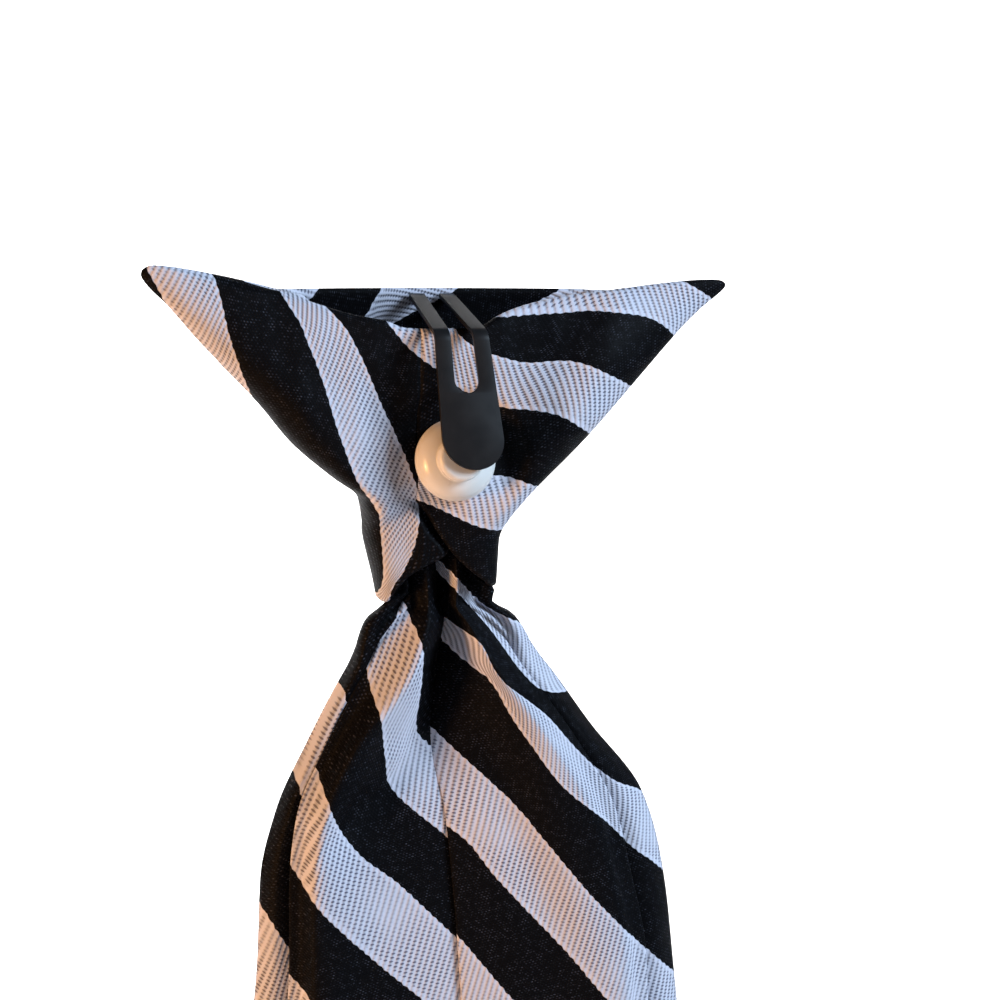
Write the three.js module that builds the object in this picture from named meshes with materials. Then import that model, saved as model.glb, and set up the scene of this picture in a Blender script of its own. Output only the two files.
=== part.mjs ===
// A pre-tied striped necktie that clips on to a shirt collar, hanging as it is worn.
// Millimetres, +Z up. The back, which lies against the shirt, faces -Y; the public front faces +Y.
// The origin is the underside of the bend in the clip, where the edge of the collar seats.
import * as THREE from 'three';

// The knot: one stitched cloth wrap, open at the top and at the neck.
const wingSpan = 78.6;        // from wing tip to wing tip
const knotDrop = 37.5;        // from the collar line down to the lower hem of the knot
const knotDepth = 14.5;       // from the back rolls to the crown of the front face
const backRollGap = 0.1;      // the back rolls lie this far in front of the collar line
const wrapWall = 1.4;         // cloth and interlining of the wrap
const knobSeatDish = 2.6;     // how far in front of the collar line the wrap is pressed by the knob
const dishMargin = 2.0;       // the pressed dish is this much wider than the flange, all round

// The blade: one folded cloth band, gathered in rolls at the throat, flat and pointed below.
const bladeDrop = 480;        // from the collar line down to the point
const pleatSpan = 62;         // width over the rolls where the pleats have opened out
const pleatDepth = 9;         // depth of the rolls
const bladeBackGap = 1.6;     // the crests of the rolls lie this far in front of the collar line
const throatThick = 0.9;      // band thickness inside the knot
const rollThick = 1.6;        // band thickness in the open rolls
const flatThick = 2.6;        // band thickness where it hangs flat
const seamStep = 0.7;         // the right back panel laps over the left one by this height
const pointRise = 44;         // height of the pointed end

// The clip: one bent strip of spring steel with a slot.
const steelThick = 0.6;
const legWidth = 2.05;
const legSpreadRoot = 4.1;    // between the centre lines of the legs, inside the knot
const legSpreadBend = 5.1;    // the same, at the bend
const legRise = 3.3;          // the legs climb this much from the bend to their root
const tabWidth = 8.2;         // widest part of the tab
const tabLength = 17.6;       // from the bend to the rounded end
const slotLength = 7.6;       // from the bend down to the round end of the slot
const clipTurn = 4.6;         // the strip leans to the right, downwards, by this many degrees

// The knob: a turned plastic stud with a flange and a boss.
const flangeRadius = 5.45;
const flangeThick = 1.5;
const bossRadius = 4.0;
const knobHeight = 5.5;
const knobRound = 0.7;        // edge rounding
const knobDrop = 17;          // its centre below the collar line
const knobSide = 0.3;         // its centre beside the middle

const gap = 0.3;              // kept between pieces that touch
const halfSpan = wingSpan / 2;

// Turns a header line and rows of numbers into rows with named columns.
function table(header, rows) {
  const names = header.split(' ');
  return rows.map((row) => Object.fromEntries(names.map((name, i) => [name, row[i]])));
}

// Reads a column on a smooth curve through the rows, at a place along the column named by.
function read(rows, by, place, column) {
  const last = rows.length - 1;
  if (place <= rows[0][by]) return rows[0][column];
  if (place >= rows[last][by]) return rows[last][column];
  let i = 0;
  while (rows[i + 1][by] < place) i += 1;
  const slope = (a, b) => (rows[b][column] - rows[a][column]) / (rows[b][by] - rows[a][by]);
  const here = slope(i, i + 1);
  const before = i > 0 ? slope(i - 1, i) : here;
  const after = i < last - 1 ? slope(i + 1, i + 2) : here;
  // a harmonic mean of the slopes keeps the curve from overshooting its rows
  const soft = (a, b) => (a * b > 0 ? (2 * a * b) / (a + b) : 0);
  const width = rows[i + 1][by] - rows[i][by];
  const t = (place - rows[i][by]) / width;
  const start = soft(before, here) * width;
  const end = soft(here, after) * width;
  const a = rows[i][column];
  const b = rows[i + 1][column];
  return a + start * t + (3 * (b - a) - 2 * start - end) * t * t + (start + end - 2 * (b - a)) * t ** 3;
}

const mix = (a, b, t) => a + (b - a) * t;
const ease = (t) => {
  const u = Math.min(1, Math.max(0, t));
  return u * u * (3 - 2 * u);
};

// Joins rings of equal length into one closed body. The last ring of a sleeve joins its first
// one. Each end ring of a band is closed by quads between its back half and its front half.
function skin(rings, ends) {
  const count = rings[0].length;
  const positions = new Float32Array(rings.flat().flatMap((p) => [p.x, p.y, p.z]));
  const faces = [];
  const quad = (a, b, c, d) => faces.push(a, b, c, a, c, d);
  const turns = ends === 'sleeve' ? rings.length : rings.length - 1;
  for (let r = 0; r < turns; r += 1) {
    const near = r * count;
    const far = ((r + 1) % rings.length) * count;
    for (let c = 0; c < count; c += 1) {
      const next = (c + 1) % count;
      quad(near + c, near + next, far + next, far + c);
    }
  }
  if (ends === 'band') {
    const lastRing = (rings.length - 1) * count;
    for (let c = 0; c < count / 2 - 1; c += 1) {
      const across = count - 1 - c;
      quad(c, across, across - 1, c + 1);
      quad(lastRing + c, lastRing + c + 1, lastRing + across - 1, lastRing + across);
    }
  }
  return outward(positions, faces);
}

// Makes an indexed geometry and turns every face outward by the sign of its volume.
function outward(positions, faces) {
  const corner = (i) => new THREE.Vector3(positions[3 * i], positions[3 * i + 1], positions[3 * i + 2]);
  let volume = 0;
  for (let f = 0; f < faces.length; f += 3) {
    const [a, b, c] = [corner(faces[f]), corner(faces[f + 1]), corner(faces[f + 2])];
    volume += a.dot(b.cross(c));
  }
  if (volume < 0) {
    for (let f = 0; f < faces.length; f += 3) {
      [faces[f], faces[f + 1]] = [faces[f + 1], faces[f]];
    }
  }
  const geometry = new THREE.BufferGeometry();
  geometry.setAttribute('position', new THREE.BufferAttribute(positions, 3));
  geometry.setIndex(faces);
  geometry.computeVertexNormals();
  return geometry;
}

// Knot sections. drop is a share of knotDrop; left, right and face (the half width of the front
// face) are shares of halfSpan; the rest are shares of knotDepth, from the back rolls: roll and
// valley on the back flaps, side at the folded edge, wing and crown on the front.
const knotSections = table('drop left right face roll valley side wing crown', [
  [-0.22, 1.000, 1.013, 0.534, 0.49, 0.46, 0.60, 0.72, 0.93],
  [-0.12, 0.964, 0.969, 0.534, 0.39, 0.37, 0.59, 0.74, 0.94],
  [0.00, 0.876, 0.852, 0.514, 0.24, 0.21, 0.57, 0.77, 0.98],
  [0.13, 0.762, 0.735, 0.478, 0.12, 0.18, 0.55, 0.77, 1.00],
  [0.27, 0.634, 0.613, 0.433, 0.05, 0.17, 0.53, 0.77, 1.00],
  [0.41, 0.522, 0.486, 0.377, 0.01, 0.17, 0.51, 0.75, 0.99],
  [0.53, 0.386, 0.366, 0.316, 0.02, 0.16, 0.49, 0.72, 0.97],
  [0.60, 0.297, 0.298, 0.277, 0.03, 0.16, 0.48, 0.70, 0.94],
  [0.68, 0.272, 0.237, 0.242, 0.08, 0.17, 0.48, 0.69, 0.91],
  [0.76, 0.260, 0.201, 0.219, 0.12, 0.17, 0.48, 0.68, 0.88],
  [0.92, 0.224, 0.198, 0.201, 0.17, 0.19, 0.48, 0.66, 0.84],
  [1.00, 0.209, 0.186, 0.188, 0.20, 0.21, 0.49, 0.65, 0.81],
]);

// The rims of the back flaps. out runs from the back seam (0) to the folded side (1); top and
// bottom are drops, as shares of knotDrop.
const leftFlapRims = table('out top bottom', [
  [0.00, -0.008, 0.605],
  [0.06, -0.010, 0.750],
  [0.15, -0.035, 0.800],
  [0.28, -0.055, 0.850],
  [0.50, -0.115, 0.900],
  [0.80, -0.175, 0.985],
  [1.00, -0.205, 1.000],
]);
const rightFlapRims = table('out top bottom', [
  [0.00, -0.008, 0.605],
  [0.10, -0.008, 0.650],
  [0.21, -0.010, 0.710],
  [0.26, -0.045, 0.730],
  [0.34, -0.080, 0.765],
  [0.50, -0.120, 0.825],
  [0.80, -0.155, 0.905],
  [1.00, -0.170, 0.945],
]);
const hemTop = -0.12;         // top hem of the front face
const seamSide = -0.115;      // the back seam beside the middle, a share of halfSpan
const faceStep = 0.1;         // the front face stands off the wings by this share of knotDepth

const knotAt = (drop, column) => read(knotSections, 'drop', drop, column);
const depthAt = (share) => backRollGap + share * knotDepth;

// Left (-1) and right (+1) reach of the folded side, and the middle between them.
function reach(drop, side) {
  return side * halfSpan * knotAt(drop, side < 0 ? 'left' : 'right');
}
const faceMiddle = (drop) => (reach(drop, -1) + reach(drop, 1)) / 2;

// How far in front of the collar line the back of the wrap lies. The knob presses a dish into it.
const rollAt = 0.72;          // the crest of a back roll, a share of the way out to the side
function backDepth(drop, side, out) {
  const seam = halfSpan * seamSide;
  const x = mix(seam, reach(drop, side), out);
  const valley = depthAt(knotAt(drop, 'valley'));
  const roll = depthAt(knotAt(drop, 'roll'));
  const edge = depthAt(knotAt(drop, 'side'));
  let y = mix(valley, roll, ease(out / rollAt));
  if (out > rollAt) {
    const u = (out - rollAt) / (1 - rollAt);
    y = mix(roll, edge, 1 - Math.sqrt(Math.max(0, 1 - u * u)));
  }
  const away = Math.hypot(x - knobSide, drop * knotDrop - knobDrop);
  const pressed = 1 - ease((away - flangeRadius - dishMargin) / (flangeRadius / 2));
  return mix(y, Math.max(y, knobSeatDish), pressed);
}

// Depth of the front of the wrap: the wing behind, then the face that stands off it.
function frontDepth(drop, part, share) {
  const wing = depthAt(knotAt(drop, 'wing'));
  const crown = depthAt(knotAt(drop, 'crown'));
  const edge = depthAt(knotAt(drop, 'side'));
  const rim = crown - faceStep * knotDepth;
  if (part === 'wing') return mix(edge, Math.min(wing, rim), Math.sqrt(share));
  return mix(rim, crown, Math.sqrt(Math.max(0, 1 - (1 - share) ** 2)));
}

// Columns round the wrap, from the back seam over the left side and the front, and back.
const flapColumns = [0, 0.07, 0.14, 0.21, 0.26, 0.34, 0.46, 0.6, 0.72, 0.84, 0.93, 0.98];
const wingColumns = [0, 0.08, 0.3, 0.65, 0.94];
const faceColumns = [0, 0.06, 0.2, 0.45, 0.75];
function knotColumns() {
  const half = (side) => [
    ...flapColumns.map((share) => ({ part: 'flap', side, share })),
    ...wingColumns.map((share) => ({ part: 'wing', side, share })),
    ...faceColumns.map((share) => ({ part: 'face', side, share })),
  ];
  const middle = { part: 'face', side: 1, share: 1 };
  return [...half(-1), middle, ...half(1).slice(1).reverse()];
}

// Highest and lowest drop of a column of the outer or inner skin.
function columnEnds(column) {
  const rims = column.side < 0 ? leftFlapRims : rightFlapRims;
  const sideTop = rims[rims.length - 1].top;
  const sideBottom = rims[rims.length - 1].bottom;
  if (column.part === 'flap') {
    return [read(rims, 'out', column.share, 'top'), read(rims, 'out', column.share, 'bottom')];
  }
  if (column.part === 'wing') {
    return [mix(sideTop, hemTop, column.share), sideBottom];
  }
  return [hemTop, mix(sideBottom, 1, column.share)];
}

// Half width of the hollow beside the middle: under the face, and clear of the neck's sides.
const neckWalls = 1.15;       // the hollow keeps this many walls inside the sides of the neck
function hollowReach(drop, side) {
  const underFace = faceMiddle(drop) + side * (halfSpan * knotAt(drop, 'face') + gap - wrapWall);
  const insideNeck = reach(drop, side) - side * wrapWall * neckWalls;
  return side < 0 ? Math.max(underFace, insideNeck) : Math.min(underFace, insideNeck);
}

function outerPoint(column, drop) {
  const seam = halfSpan * seamSide;
  const edge = reach(drop, column.side);
  const faceEdge = faceMiddle(drop) + column.side * halfSpan * knotAt(drop, 'face');
  let x = mix(seam, edge, column.share);
  let y = 0;
  if (column.part === 'flap') {
    y = backDepth(drop, column.side, column.share);
  } else {
    y = frontDepth(drop, column.part, column.share);
    x = column.part === 'wing' ? mix(edge, faceEdge, column.share)
      : mix(faceEdge, faceMiddle(drop), column.share);
  }
  return new THREE.Vector3(x, y, -drop * knotDrop);
}

// The hollow under the face. Its columns pair with the outer ones, crowded at its sides. Each
// side runs from its middle towards the front in the shares of sideRun, to the front corner.
const sideRun = [0.05, 0.85];
const frontCorner = 0.95;
const backCorner = 0.93;      // the back of the hollow turns into its side at this share
function innerPoint(column, drop) {
  const seam = halfSpan * seamSide;
  const edge = hollowReach(drop, column.side);
  const out = (x) => (x - seam) / (reach(drop, column.side) - seam);
  const backAt = (x) => backDepth(drop, column.side, Math.max(0, out(x))) + wrapWall;
  const frontAt = (share) => frontDepth(drop, 'face', share) - wrapWall;
  const middle = (backAt(edge) + frontAt(0)) / 2;
  let x = edge;
  let y = middle;
  if (column.part === 'flap') {
    const cornerShare = backCorner * out(edge);
    const turn = Math.max(0, (column.share - cornerShare) / (1 - cornerShare)) * Math.PI / 2;
    x = turn === 0 ? mix(seam, reach(drop, column.side), column.share)
      : mix(seam, edge, backCorner + (1 - backCorner) * Math.sin(turn));
    y = mix(backAt(x), middle, 1 - Math.cos(turn));
  } else if (column.part === 'wing') {
    y = mix(middle, frontAt(0), mix(sideRun[0], sideRun[1], column.share));
  } else {
    x = mix(edge, faceMiddle(drop), column.share);
    y = column.share === 0 ? mix(middle, frontAt(0), frontCorner) : frontAt(column.share);
  }
  return new THREE.Vector3(x, y, -drop * knotDrop);
}

function knotWrap() {
  const steps = 20;
  const columns = knotColumns();
  const ring = (point, share, inner) => columns.map((column) => {
    const [top, bottom] = columnEnds(column);
    const innerTop = column.part === 'flap' ? Math.max(top, hemTop) : hemTop;
    return point(column, mix(inner ? innerTop : top, bottom, share));
  });
  const outer = [];
  const inner = [];
  for (let step = 0; step <= steps; step += 1) {
    outer.push(ring(outerPoint, step / steps, false));
    inner.push(ring(innerPoint, step / steps, true));
  }
  return skin([...outer, ...inner.reverse()], 'sleeve');
}

// Fold lines of the blade from its left hem to its right hem, by section. Inside the knot (zone
// 0) drop is a share of knotDrop and across and depth are shares of the hollow; below it (zone
// 1) drop is a share of the way from the knot's hem to the point, across is a share of
// pleatSpan from the middle line and depth a share of pleatDepth.
const foldNames = 'hemL rollL valL shoL creL dipL seam dipR creR shoR valR rollR hemR';
const foldAcross = table('zone drop ' + foldNames, [
  [0, 0.62, 0.08, 0.14, 0.22, 0.29, 0.37, 0.45, 0.53, 0.60, 0.67, 0.74, 0.80, 0.86, 0.92],
  [0, 1.00, 0.16, 0.20, 0.26, 0.31, 0.38, 0.47, 0.55, 0.62, 0.69, 0.75, 0.81, 0.86, 0.91],
  [1, 0.005, -0.121, -0.108, -0.081, -0.065, -0.040, -0.008, 0.021, 0.035, 0.052, 0.074, 0.095, 0.113, 0.137],
  [1, 0.021, -0.194, -0.181, -0.160, -0.135, -0.084, -0.040, 0.011, 0.056, 0.121, 0.161, 0.185, 0.210, 0.255],
  [1, 0.044, -0.273, -0.258, -0.240, -0.224, -0.197, -0.077, 0.000, 0.095, 0.239, 0.284, 0.308, 0.337, 0.380],
  [1, 0.067, -0.345, -0.326, -0.306, -0.290, -0.261, -0.177, 0.026, 0.144, 0.337, 0.382, 0.406, 0.450, 0.510],
  [1, 0.089, -0.377, -0.348, -0.318, -0.300, -0.274, -0.147, 0.045, 0.192, 0.387, 0.429, 0.452, 0.504, 0.565],
  [1, 0.116, -0.382, -0.347, -0.315, -0.297, -0.268, -0.121, 0.065, 0.245, 0.435, 0.474, 0.498, 0.544, 0.600],
  [1, 0.175, -0.419, -0.377, -0.335, -0.313, -0.271, -0.097, 0.097, 0.290, 0.452, 0.500, 0.531, 0.589, 0.653],
  [1, 0.277, -0.458, -0.400, -0.339, -0.303, -0.248, -0.065, 0.113, 0.306, 0.484, 0.539, 0.581, 0.642, 0.703],
  [1, 0.435, -0.521, -0.452, -0.371, -0.306, -0.235, -0.065, 0.100, 0.274, 0.435, 0.516, 0.581, 0.655, 0.721],
  [1, 0.910, -0.637, -0.548, -0.444, -0.339, -0.234, -0.081, 0.073, 0.226, 0.379, 0.484, 0.589, 0.694, 0.782],
]);
const foldDepth = table('zone drop ' + foldNames, [
  [0, 0.62, 0.74, 0.40, 0.76, 0.45, 0.18, 0.46, 0.80, 0.48, 0.18, 0.46, 0.74, 0.40, 0.70],
  [0, 1.00, 0.74, 0.38, 0.76, 0.45, 0.17, 0.46, 0.80, 0.48, 0.18, 0.46, 0.76, 0.38, 0.70],
  [1, 0.005, 0.78, 0.50, 0.78, 0.56, 0.24, 0.51, 0.87, 0.61, 0.28, 0.50, 0.78, 0.50, 0.82],
  [1, 0.021, 0.89, 0.56, 0.89, 0.50, 0.08, 0.44, 1.00, 0.61, 0.08, 0.39, 0.83, 0.56, 0.94],
  [1, 0.044, 1.00, 0.67, 0.94, 0.56, 0.11, 0.61, 0.94, 0.50, 0.06, 0.39, 0.89, 0.56, 1.00],
  [1, 0.067, 1.00, 0.72, 0.97, 0.56, 0.17, 0.50, 0.53, 0.31, 0.06, 0.39, 0.89, 0.61, 1.00],
  [1, 0.089, 1.00, 0.76, 0.97, 0.61, 0.28, 0.39, 0.42, 0.22, 0.09, 0.44, 0.89, 0.67, 1.00],
  [1, 0.116, 1.00, 0.78, 0.94, 0.67, 0.39, 0.33, 0.36, 0.20, 0.16, 0.47, 0.89, 0.70, 1.00],
  [1, 0.175, 0.96, 0.78, 0.91, 0.69, 0.47, 0.38, 0.38, 0.29, 0.29, 0.53, 0.84, 0.71, 0.96],
  [1, 0.277, 0.84, 0.73, 0.78, 0.69, 0.58, 0.49, 0.47, 0.44, 0.47, 0.58, 0.73, 0.69, 0.84],
  [1, 0.435, 0.73, 0.69, 0.68, 0.67, 0.63, 0.60, 0.59, 0.60, 0.62, 0.66, 0.68, 0.69, 0.73],
  [1, 0.910, 0.70, 0.68, 0.67, 0.67, 0.66, 0.66, 0.64, 0.66, 0.66, 0.67, 0.67, 0.68, 0.70],
]);

// Places the fold lines of a section inside the knot, in the hollow that the wrap leaves there.
function hiddenSection(share) {
  const left = hollowReach(share, -1);
  const right = hollowReach(share, 1);
  const backs = [0, 0.2, 0.4, 0.6].flatMap((out) => [-1, 1].map((side) => backDepth(share, side, out)));
  const back = Math.max(...backs) + wrapWall;
  const front = depthAt(knotAt(share, 'crown')) - wrapWall;
  const section = { drop: share * knotDrop };
  foldNames.split(' ').forEach((name) => {
    const across = read(foldAcross.slice(0, 2), 'drop', share, name);
    const depth = read(foldDepth.slice(0, 2), 'drop', share, name);
    section[name + 'X'] = mix(left, right, across);
    section[name + 'Y'] = mix(back, front, depth);
  });
  return section;
}

// Places the fold lines of a section below the knot.
function openSection(across, depth) {
  const section = { drop: mix(knotDrop, bladeDrop, across.drop) };
  foldNames.split(' ').forEach((name) => {
    section[name + 'X'] = across[name] * pleatSpan;
    section[name + 'Y'] = bladeBackGap + depth[name] * pleatDepth;
  });
  return section;
}

const hiddenSteps = 7;
const hiddenShares = Array.from({ length: hiddenSteps }, (_, i) => {
  return mix(foldAcross[0].drop, foldAcross[1].drop, i / (hiddenSteps - 1));
});
const foldSections = [
  ...hiddenShares.map(hiddenSection),
  ...foldAcross.slice(2).map((across, i) => openSection(across, foldDepth[i + 2])),
];

// Thickness of the band by the share of its drop.
const bandThickness = table('drop thick', [
  [0, throatThick],
  [knotDrop, throatThick],
  [2 * knotDrop, rollThick],
  [4 * knotDrop, flatThick],
  [bladeDrop, flatThick],
]);

// Centre line of the band at one drop: fold lines and the points halfway between them, which
// a share of the bend of the four folds around them carries outward.
const bendShare = 1 / 16;
function bandCentre(drop) {
  const folds = foldNames.split(' ').map((name) => new THREE.Vector2(
    read(foldSections, 'drop', drop, name + 'X'),
    read(foldSections, 'drop', drop, name + 'Y'),
  ));
  const centre = [];
  folds.forEach((fold, i) => {
    centre.push(fold);
    if (i === folds.length - 1) return;
    const before = folds[Math.max(0, i - 1)];
    const next = folds[i + 1];
    const after = folds[Math.min(folds.length - 1, i + 2)];
    const halfway = fold.clone().add(next).multiplyScalar(0.5);
    const round = fold.clone().add(next).sub(before).sub(after).multiplyScalar(bendShare);
    round.x = 0;
    centre.push(halfway.add(round));
  });
  return centre;
}

// One ring of the band: its back from the left hem to the right one, then its front. The right
// panel laps over the left one at the seam, fully over lapFlat points and fading over lapFade.
const hemShare = 0.55;        // thickness of the two hems, a share of the band's
const lapFade = 4;
const lapFlat = 1.2;
const lapTop = 1.2;           // the lap begins this many knot drops down
function bandRing(drop, pointShare) {
  const centre = bandCentre(drop);
  const count = centre.length;
  const seam = (count - 1) / 2;
  const half = read(bandThickness, 'drop', drop, 'thick') / 2;
  const middle = (centre[0].x + centre[count - 1].x) / 2;
  const reachOut = (centre[count - 1].x - centre[0].x) / 2;
  const back = [];
  const front = [];
  centre.forEach((point, i) => {
    const tangent = centre[Math.min(count - 1, i + 1)].clone().sub(centre[Math.max(0, i - 1)]).normalize();
    const hem = i === 0 || i === count - 1 ? hemShare : 1;
    const z = -drop + pointShare * pointRise * Math.abs(point.x - middle) / reachOut;
    const shift = new THREE.Vector2(-tangent.y, tangent.x).multiplyScalar(half * hem);
    const lapAcross = i > seam ? ease((lapFlat + lapFade - (i - seam)) / lapFade) : 0;
    const lap = seamStep * lapAcross * ease(drop / knotDrop - lapTop);
    back.push(new THREE.Vector3(point.x - shift.x, point.y - shift.y - lap, z));
    front.push(new THREE.Vector3(point.x + shift.x, point.y + shift.y, z));
  });
  return [...back, ...front.reverse()];
}

// Drops of the rings: close together in the folds, wide apart where the blade hangs flat.
const closeRings = 4;
const wideRings = 30;
function bandDrops() {
  const drops = [];
  let drop = foldSections[0].drop;
  while (drop < bladeDrop - 1) {
    drops.push(drop);
    drop += mix(closeRings, wideRings, ease((drop - 1.6 * knotDrop) / (bladeDrop * 0.7)));
  }
  drops.pop();
  return [...drops, bladeDrop];
}

function blade() {
  const pointStart = bladeDrop * 0.6;
  const rings = bandDrops().map((drop) => {
    return bandRing(drop, Math.max(0, (drop - pointStart) / (bladeDrop - pointStart)));
  });
  return skin(rings, 'band');
}

// The knob stands on the dish in the wrap and points away from it.
const knobBase = knobSeatDish - gap;
const knobTop = knobBase - knobHeight;
function knob() {
  const corner = (radius, height, from, to) => [0, 0.5, 1].map((t) => {
    const angle = mix(from, to, t) * Math.PI / 2;
    return new THREE.Vector2(radius - knobRound + knobRound * Math.cos(angle),
      height - knobRound + knobRound * Math.sin(angle));
  });
  const profile = [
    new THREE.Vector2(0, 0),
    new THREE.Vector2(flangeRadius - knobRound / 2, 0),
    new THREE.Vector2(flangeRadius, knobRound / 2),
    ...corner(flangeRadius, flangeThick, 0, 1),
    new THREE.Vector2(bossRadius, flangeThick + knobRound / 3),
    ...corner(bossRadius, knobHeight, 0, 1),
    new THREE.Vector2(0, knobHeight),
  ];
  return new THREE.LatheGeometry(profile, 28);
}

// Path of the steel strip: along runs from the bend, up the legs (negative) and down the tab.
const rootDepth = depthAt(knotAt(-legRise / knotDrop, 'crown')) - wrapWall - gap;
const legLength = Math.hypot(rootDepth, legRise);
const tabSlope = (gap - knobTop) / (knobDrop - bossRadius + knobRound / 2);
const bendRadius = 0.9;
function stripPath(along) {
  const leg = new THREE.Vector3(0, rootDepth, legRise).normalize();
  const tab = new THREE.Vector3(0, -tabSlope, -1).normalize();
  const t = Math.min(1, Math.max(-1, along / bendRadius));
  const far = Math.abs(along) > bendRadius;
  const point = far ? (along < 0 ? leg : tab).clone().multiplyScalar(Math.abs(along)) : new THREE.Vector3();
  if (!far) {
    // a short parabola that leaves both straight runs at their own slope
    const rise = bendRadius * (1 - t) * (1 - t) / 4;
    const fall = bendRadius * (1 + t) * (1 + t) / 4;
    point.addScaledVector(leg, rise).addScaledVector(tab, fall);
  }
  const direction = leg.clone().multiplyScalar(-(1 - t) / 2).addScaledVector(tab, (1 + t) / 2).normalize();
  const normal = new THREE.Vector3(0, direction.z, -direction.y);
  return { point, normal: normal.multiplyScalar(normal.z < 0 ? -1 : 1) };
}

// Outer and inner half widths of the strip: two legs that join below the slot.
const slotWiden = 0.1;        // the slot grows by this on each side, from the bend to its round end
function stripStations() {
  const stations = [];
  const slotRound = (legSpreadBend - legWidth) / 2 + slotWiden;
  const slotStraight = slotLength - slotRound;
  const endRound = tabWidth / 2;
  const straightEnd = tabLength - endRound;
  const add = (along, outer, inner) => stations.push({ along, outer, inner });
  const legHalf = (along) => mix(legSpreadBend, legSpreadRoot, -along / legLength) / 2;
  [-legLength, -legLength * 0.66, -legLength * 0.33, -bendRadius, -bendRadius / 2].forEach((along) => {
    add(along, legHalf(along) + legWidth / 2, legHalf(along) - legWidth / 2);
  });
  const outerAt = (along) => mix((legSpreadBend + legWidth) / 2, endRound, Math.min(1, along / straightEnd));
  const innerAt = (along) => mix(slotRound - slotWiden, slotRound, along / slotStraight);
  [0, bendRadius / 2, bendRadius, slotStraight / 2, slotStraight].forEach((along) => {
    add(along, outerAt(along), innerAt(along));
  });
  for (let step = 1; step <= 5; step += 1) {
    const angle = step * Math.PI / 10;
    const along = slotStraight + slotRound * Math.sin(angle);
    add(along, outerAt(along), step === 5 ? 0 : slotRound * Math.cos(angle));
  }
  add(straightEnd, endRound, 0);
  for (let step = 1; step <= 8; step += 1) {
    const angle = step * Math.PI / 17;
    add(straightEnd + endRound * Math.sin(angle), endRound * Math.cos(angle), 0);
  }
  return stations;
}

function clip() {
  const positions = [];
  const faces = [];
  const turn = THREE.MathUtils.degToRad(clipTurn);
  const quad = (a, b, c, d) => faces.push(a, b, c, a, c, d);
  // the strip leans sideways by its turn as it runs; its bend stays level
  // eight corners a station: left outer, left inner, right inner, right outer, under then over
  const corners = stripStations().map(({ along, outer, inner }) => {
    const { point, normal } = stripPath(along);
    const lean = Math.sin(turn) * along;
    return [-outer, -inner, inner, outer].flatMap((across, i) => {
      if (i === 2 && inner === 0) return [null, null];
      return [0, steelThick].map((lift) => {
        const at = point.clone().addScaledVector(normal, lift);
        positions.push(at.x + across + lean, at.y, at.z);
        return positions.length / 3 - 1;
      });
    });
  });
  corners.forEach((c) => {
    if (c[4] === null) {
      c[4] = c[2];
      c[5] = c[3];
    }
  });
  for (let i = 0; i < corners.length - 1; i += 1) {
    const a = corners[i];
    const b = corners[i + 1];
    const slotted = a[2] !== a[4];
    [0, 4].forEach((leg) => {
      quad(a[leg], a[leg + 2], b[leg + 2], b[leg]);
      quad(a[leg + 1], b[leg + 1], b[leg + 3], a[leg + 3]);
    });
    quad(a[0], b[0], b[1], a[1]);
    quad(a[6], a[7], b[7], b[6]);
    if (slotted) {
      quad(a[2], a[3], b[3], b[2]);
      quad(a[4], b[4], b[5], a[5]);
    }
  }
  const root = corners[0];
  const end = corners[corners.length - 1];
  quad(root[0], root[1], root[3], root[2]);
  quad(root[4], root[5], root[7], root[6]);
  quad(end[0], end[2], end[3], end[1]);
  quad(end[4], end[6], end[7], end[5]);
  return outward(new Float32Array(positions), faces);
}

const bladeTwill = new THREE.MeshStandardMaterial({ color: 0x62636c, roughness: 0.85, metalness: 0 });
const wrapTwill = new THREE.MeshStandardMaterial({ color: 0x6f7079, roughness: 0.85, metalness: 0 });
const blackSteel = new THREE.MeshStandardMaterial({ color: 0x2b2b2e, roughness: 0.45, metalness: 0.7 });
const milkyPlastic = new THREE.MeshStandardMaterial({ color: 0xece7dd, roughness: 0.35, metalness: 0 });

const tie = new THREE.Group();
function addPiece(name, geometry, material) {
  const mesh = new THREE.Mesh(geometry, material);
  mesh.name = name;
  tie.add(mesh);
  return mesh;
}
addPiece('knot_wrap', knotWrap(), wrapTwill);
addPiece('blade', blade(), bladeTwill);
addPiece('collar_clip_strip', clip(), blackSteel);
const knobMesh = addPiece('clip_knob', knob(), milkyPlastic);
knobMesh.position.set(knobSide, knobBase, -knobDrop);
knobMesh.rotation.x = Math.PI;

export default tie;
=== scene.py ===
import math
import bpy
import numpy as np
from mathutils import Matrix, Vector


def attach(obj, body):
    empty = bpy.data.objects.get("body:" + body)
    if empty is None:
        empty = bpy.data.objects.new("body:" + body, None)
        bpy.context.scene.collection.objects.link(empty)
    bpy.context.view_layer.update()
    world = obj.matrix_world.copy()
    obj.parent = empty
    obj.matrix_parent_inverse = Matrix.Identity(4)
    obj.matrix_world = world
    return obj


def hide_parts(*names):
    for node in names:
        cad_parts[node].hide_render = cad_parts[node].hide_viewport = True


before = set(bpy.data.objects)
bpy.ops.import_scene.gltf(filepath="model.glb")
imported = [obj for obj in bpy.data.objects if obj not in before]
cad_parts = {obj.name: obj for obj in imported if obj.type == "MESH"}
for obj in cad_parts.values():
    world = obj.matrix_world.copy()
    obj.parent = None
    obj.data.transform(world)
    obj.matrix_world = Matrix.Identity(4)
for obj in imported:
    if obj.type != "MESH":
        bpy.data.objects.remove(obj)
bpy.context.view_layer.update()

mm = 0.001
print("frame loaded:", len(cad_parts), "nodes")

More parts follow.
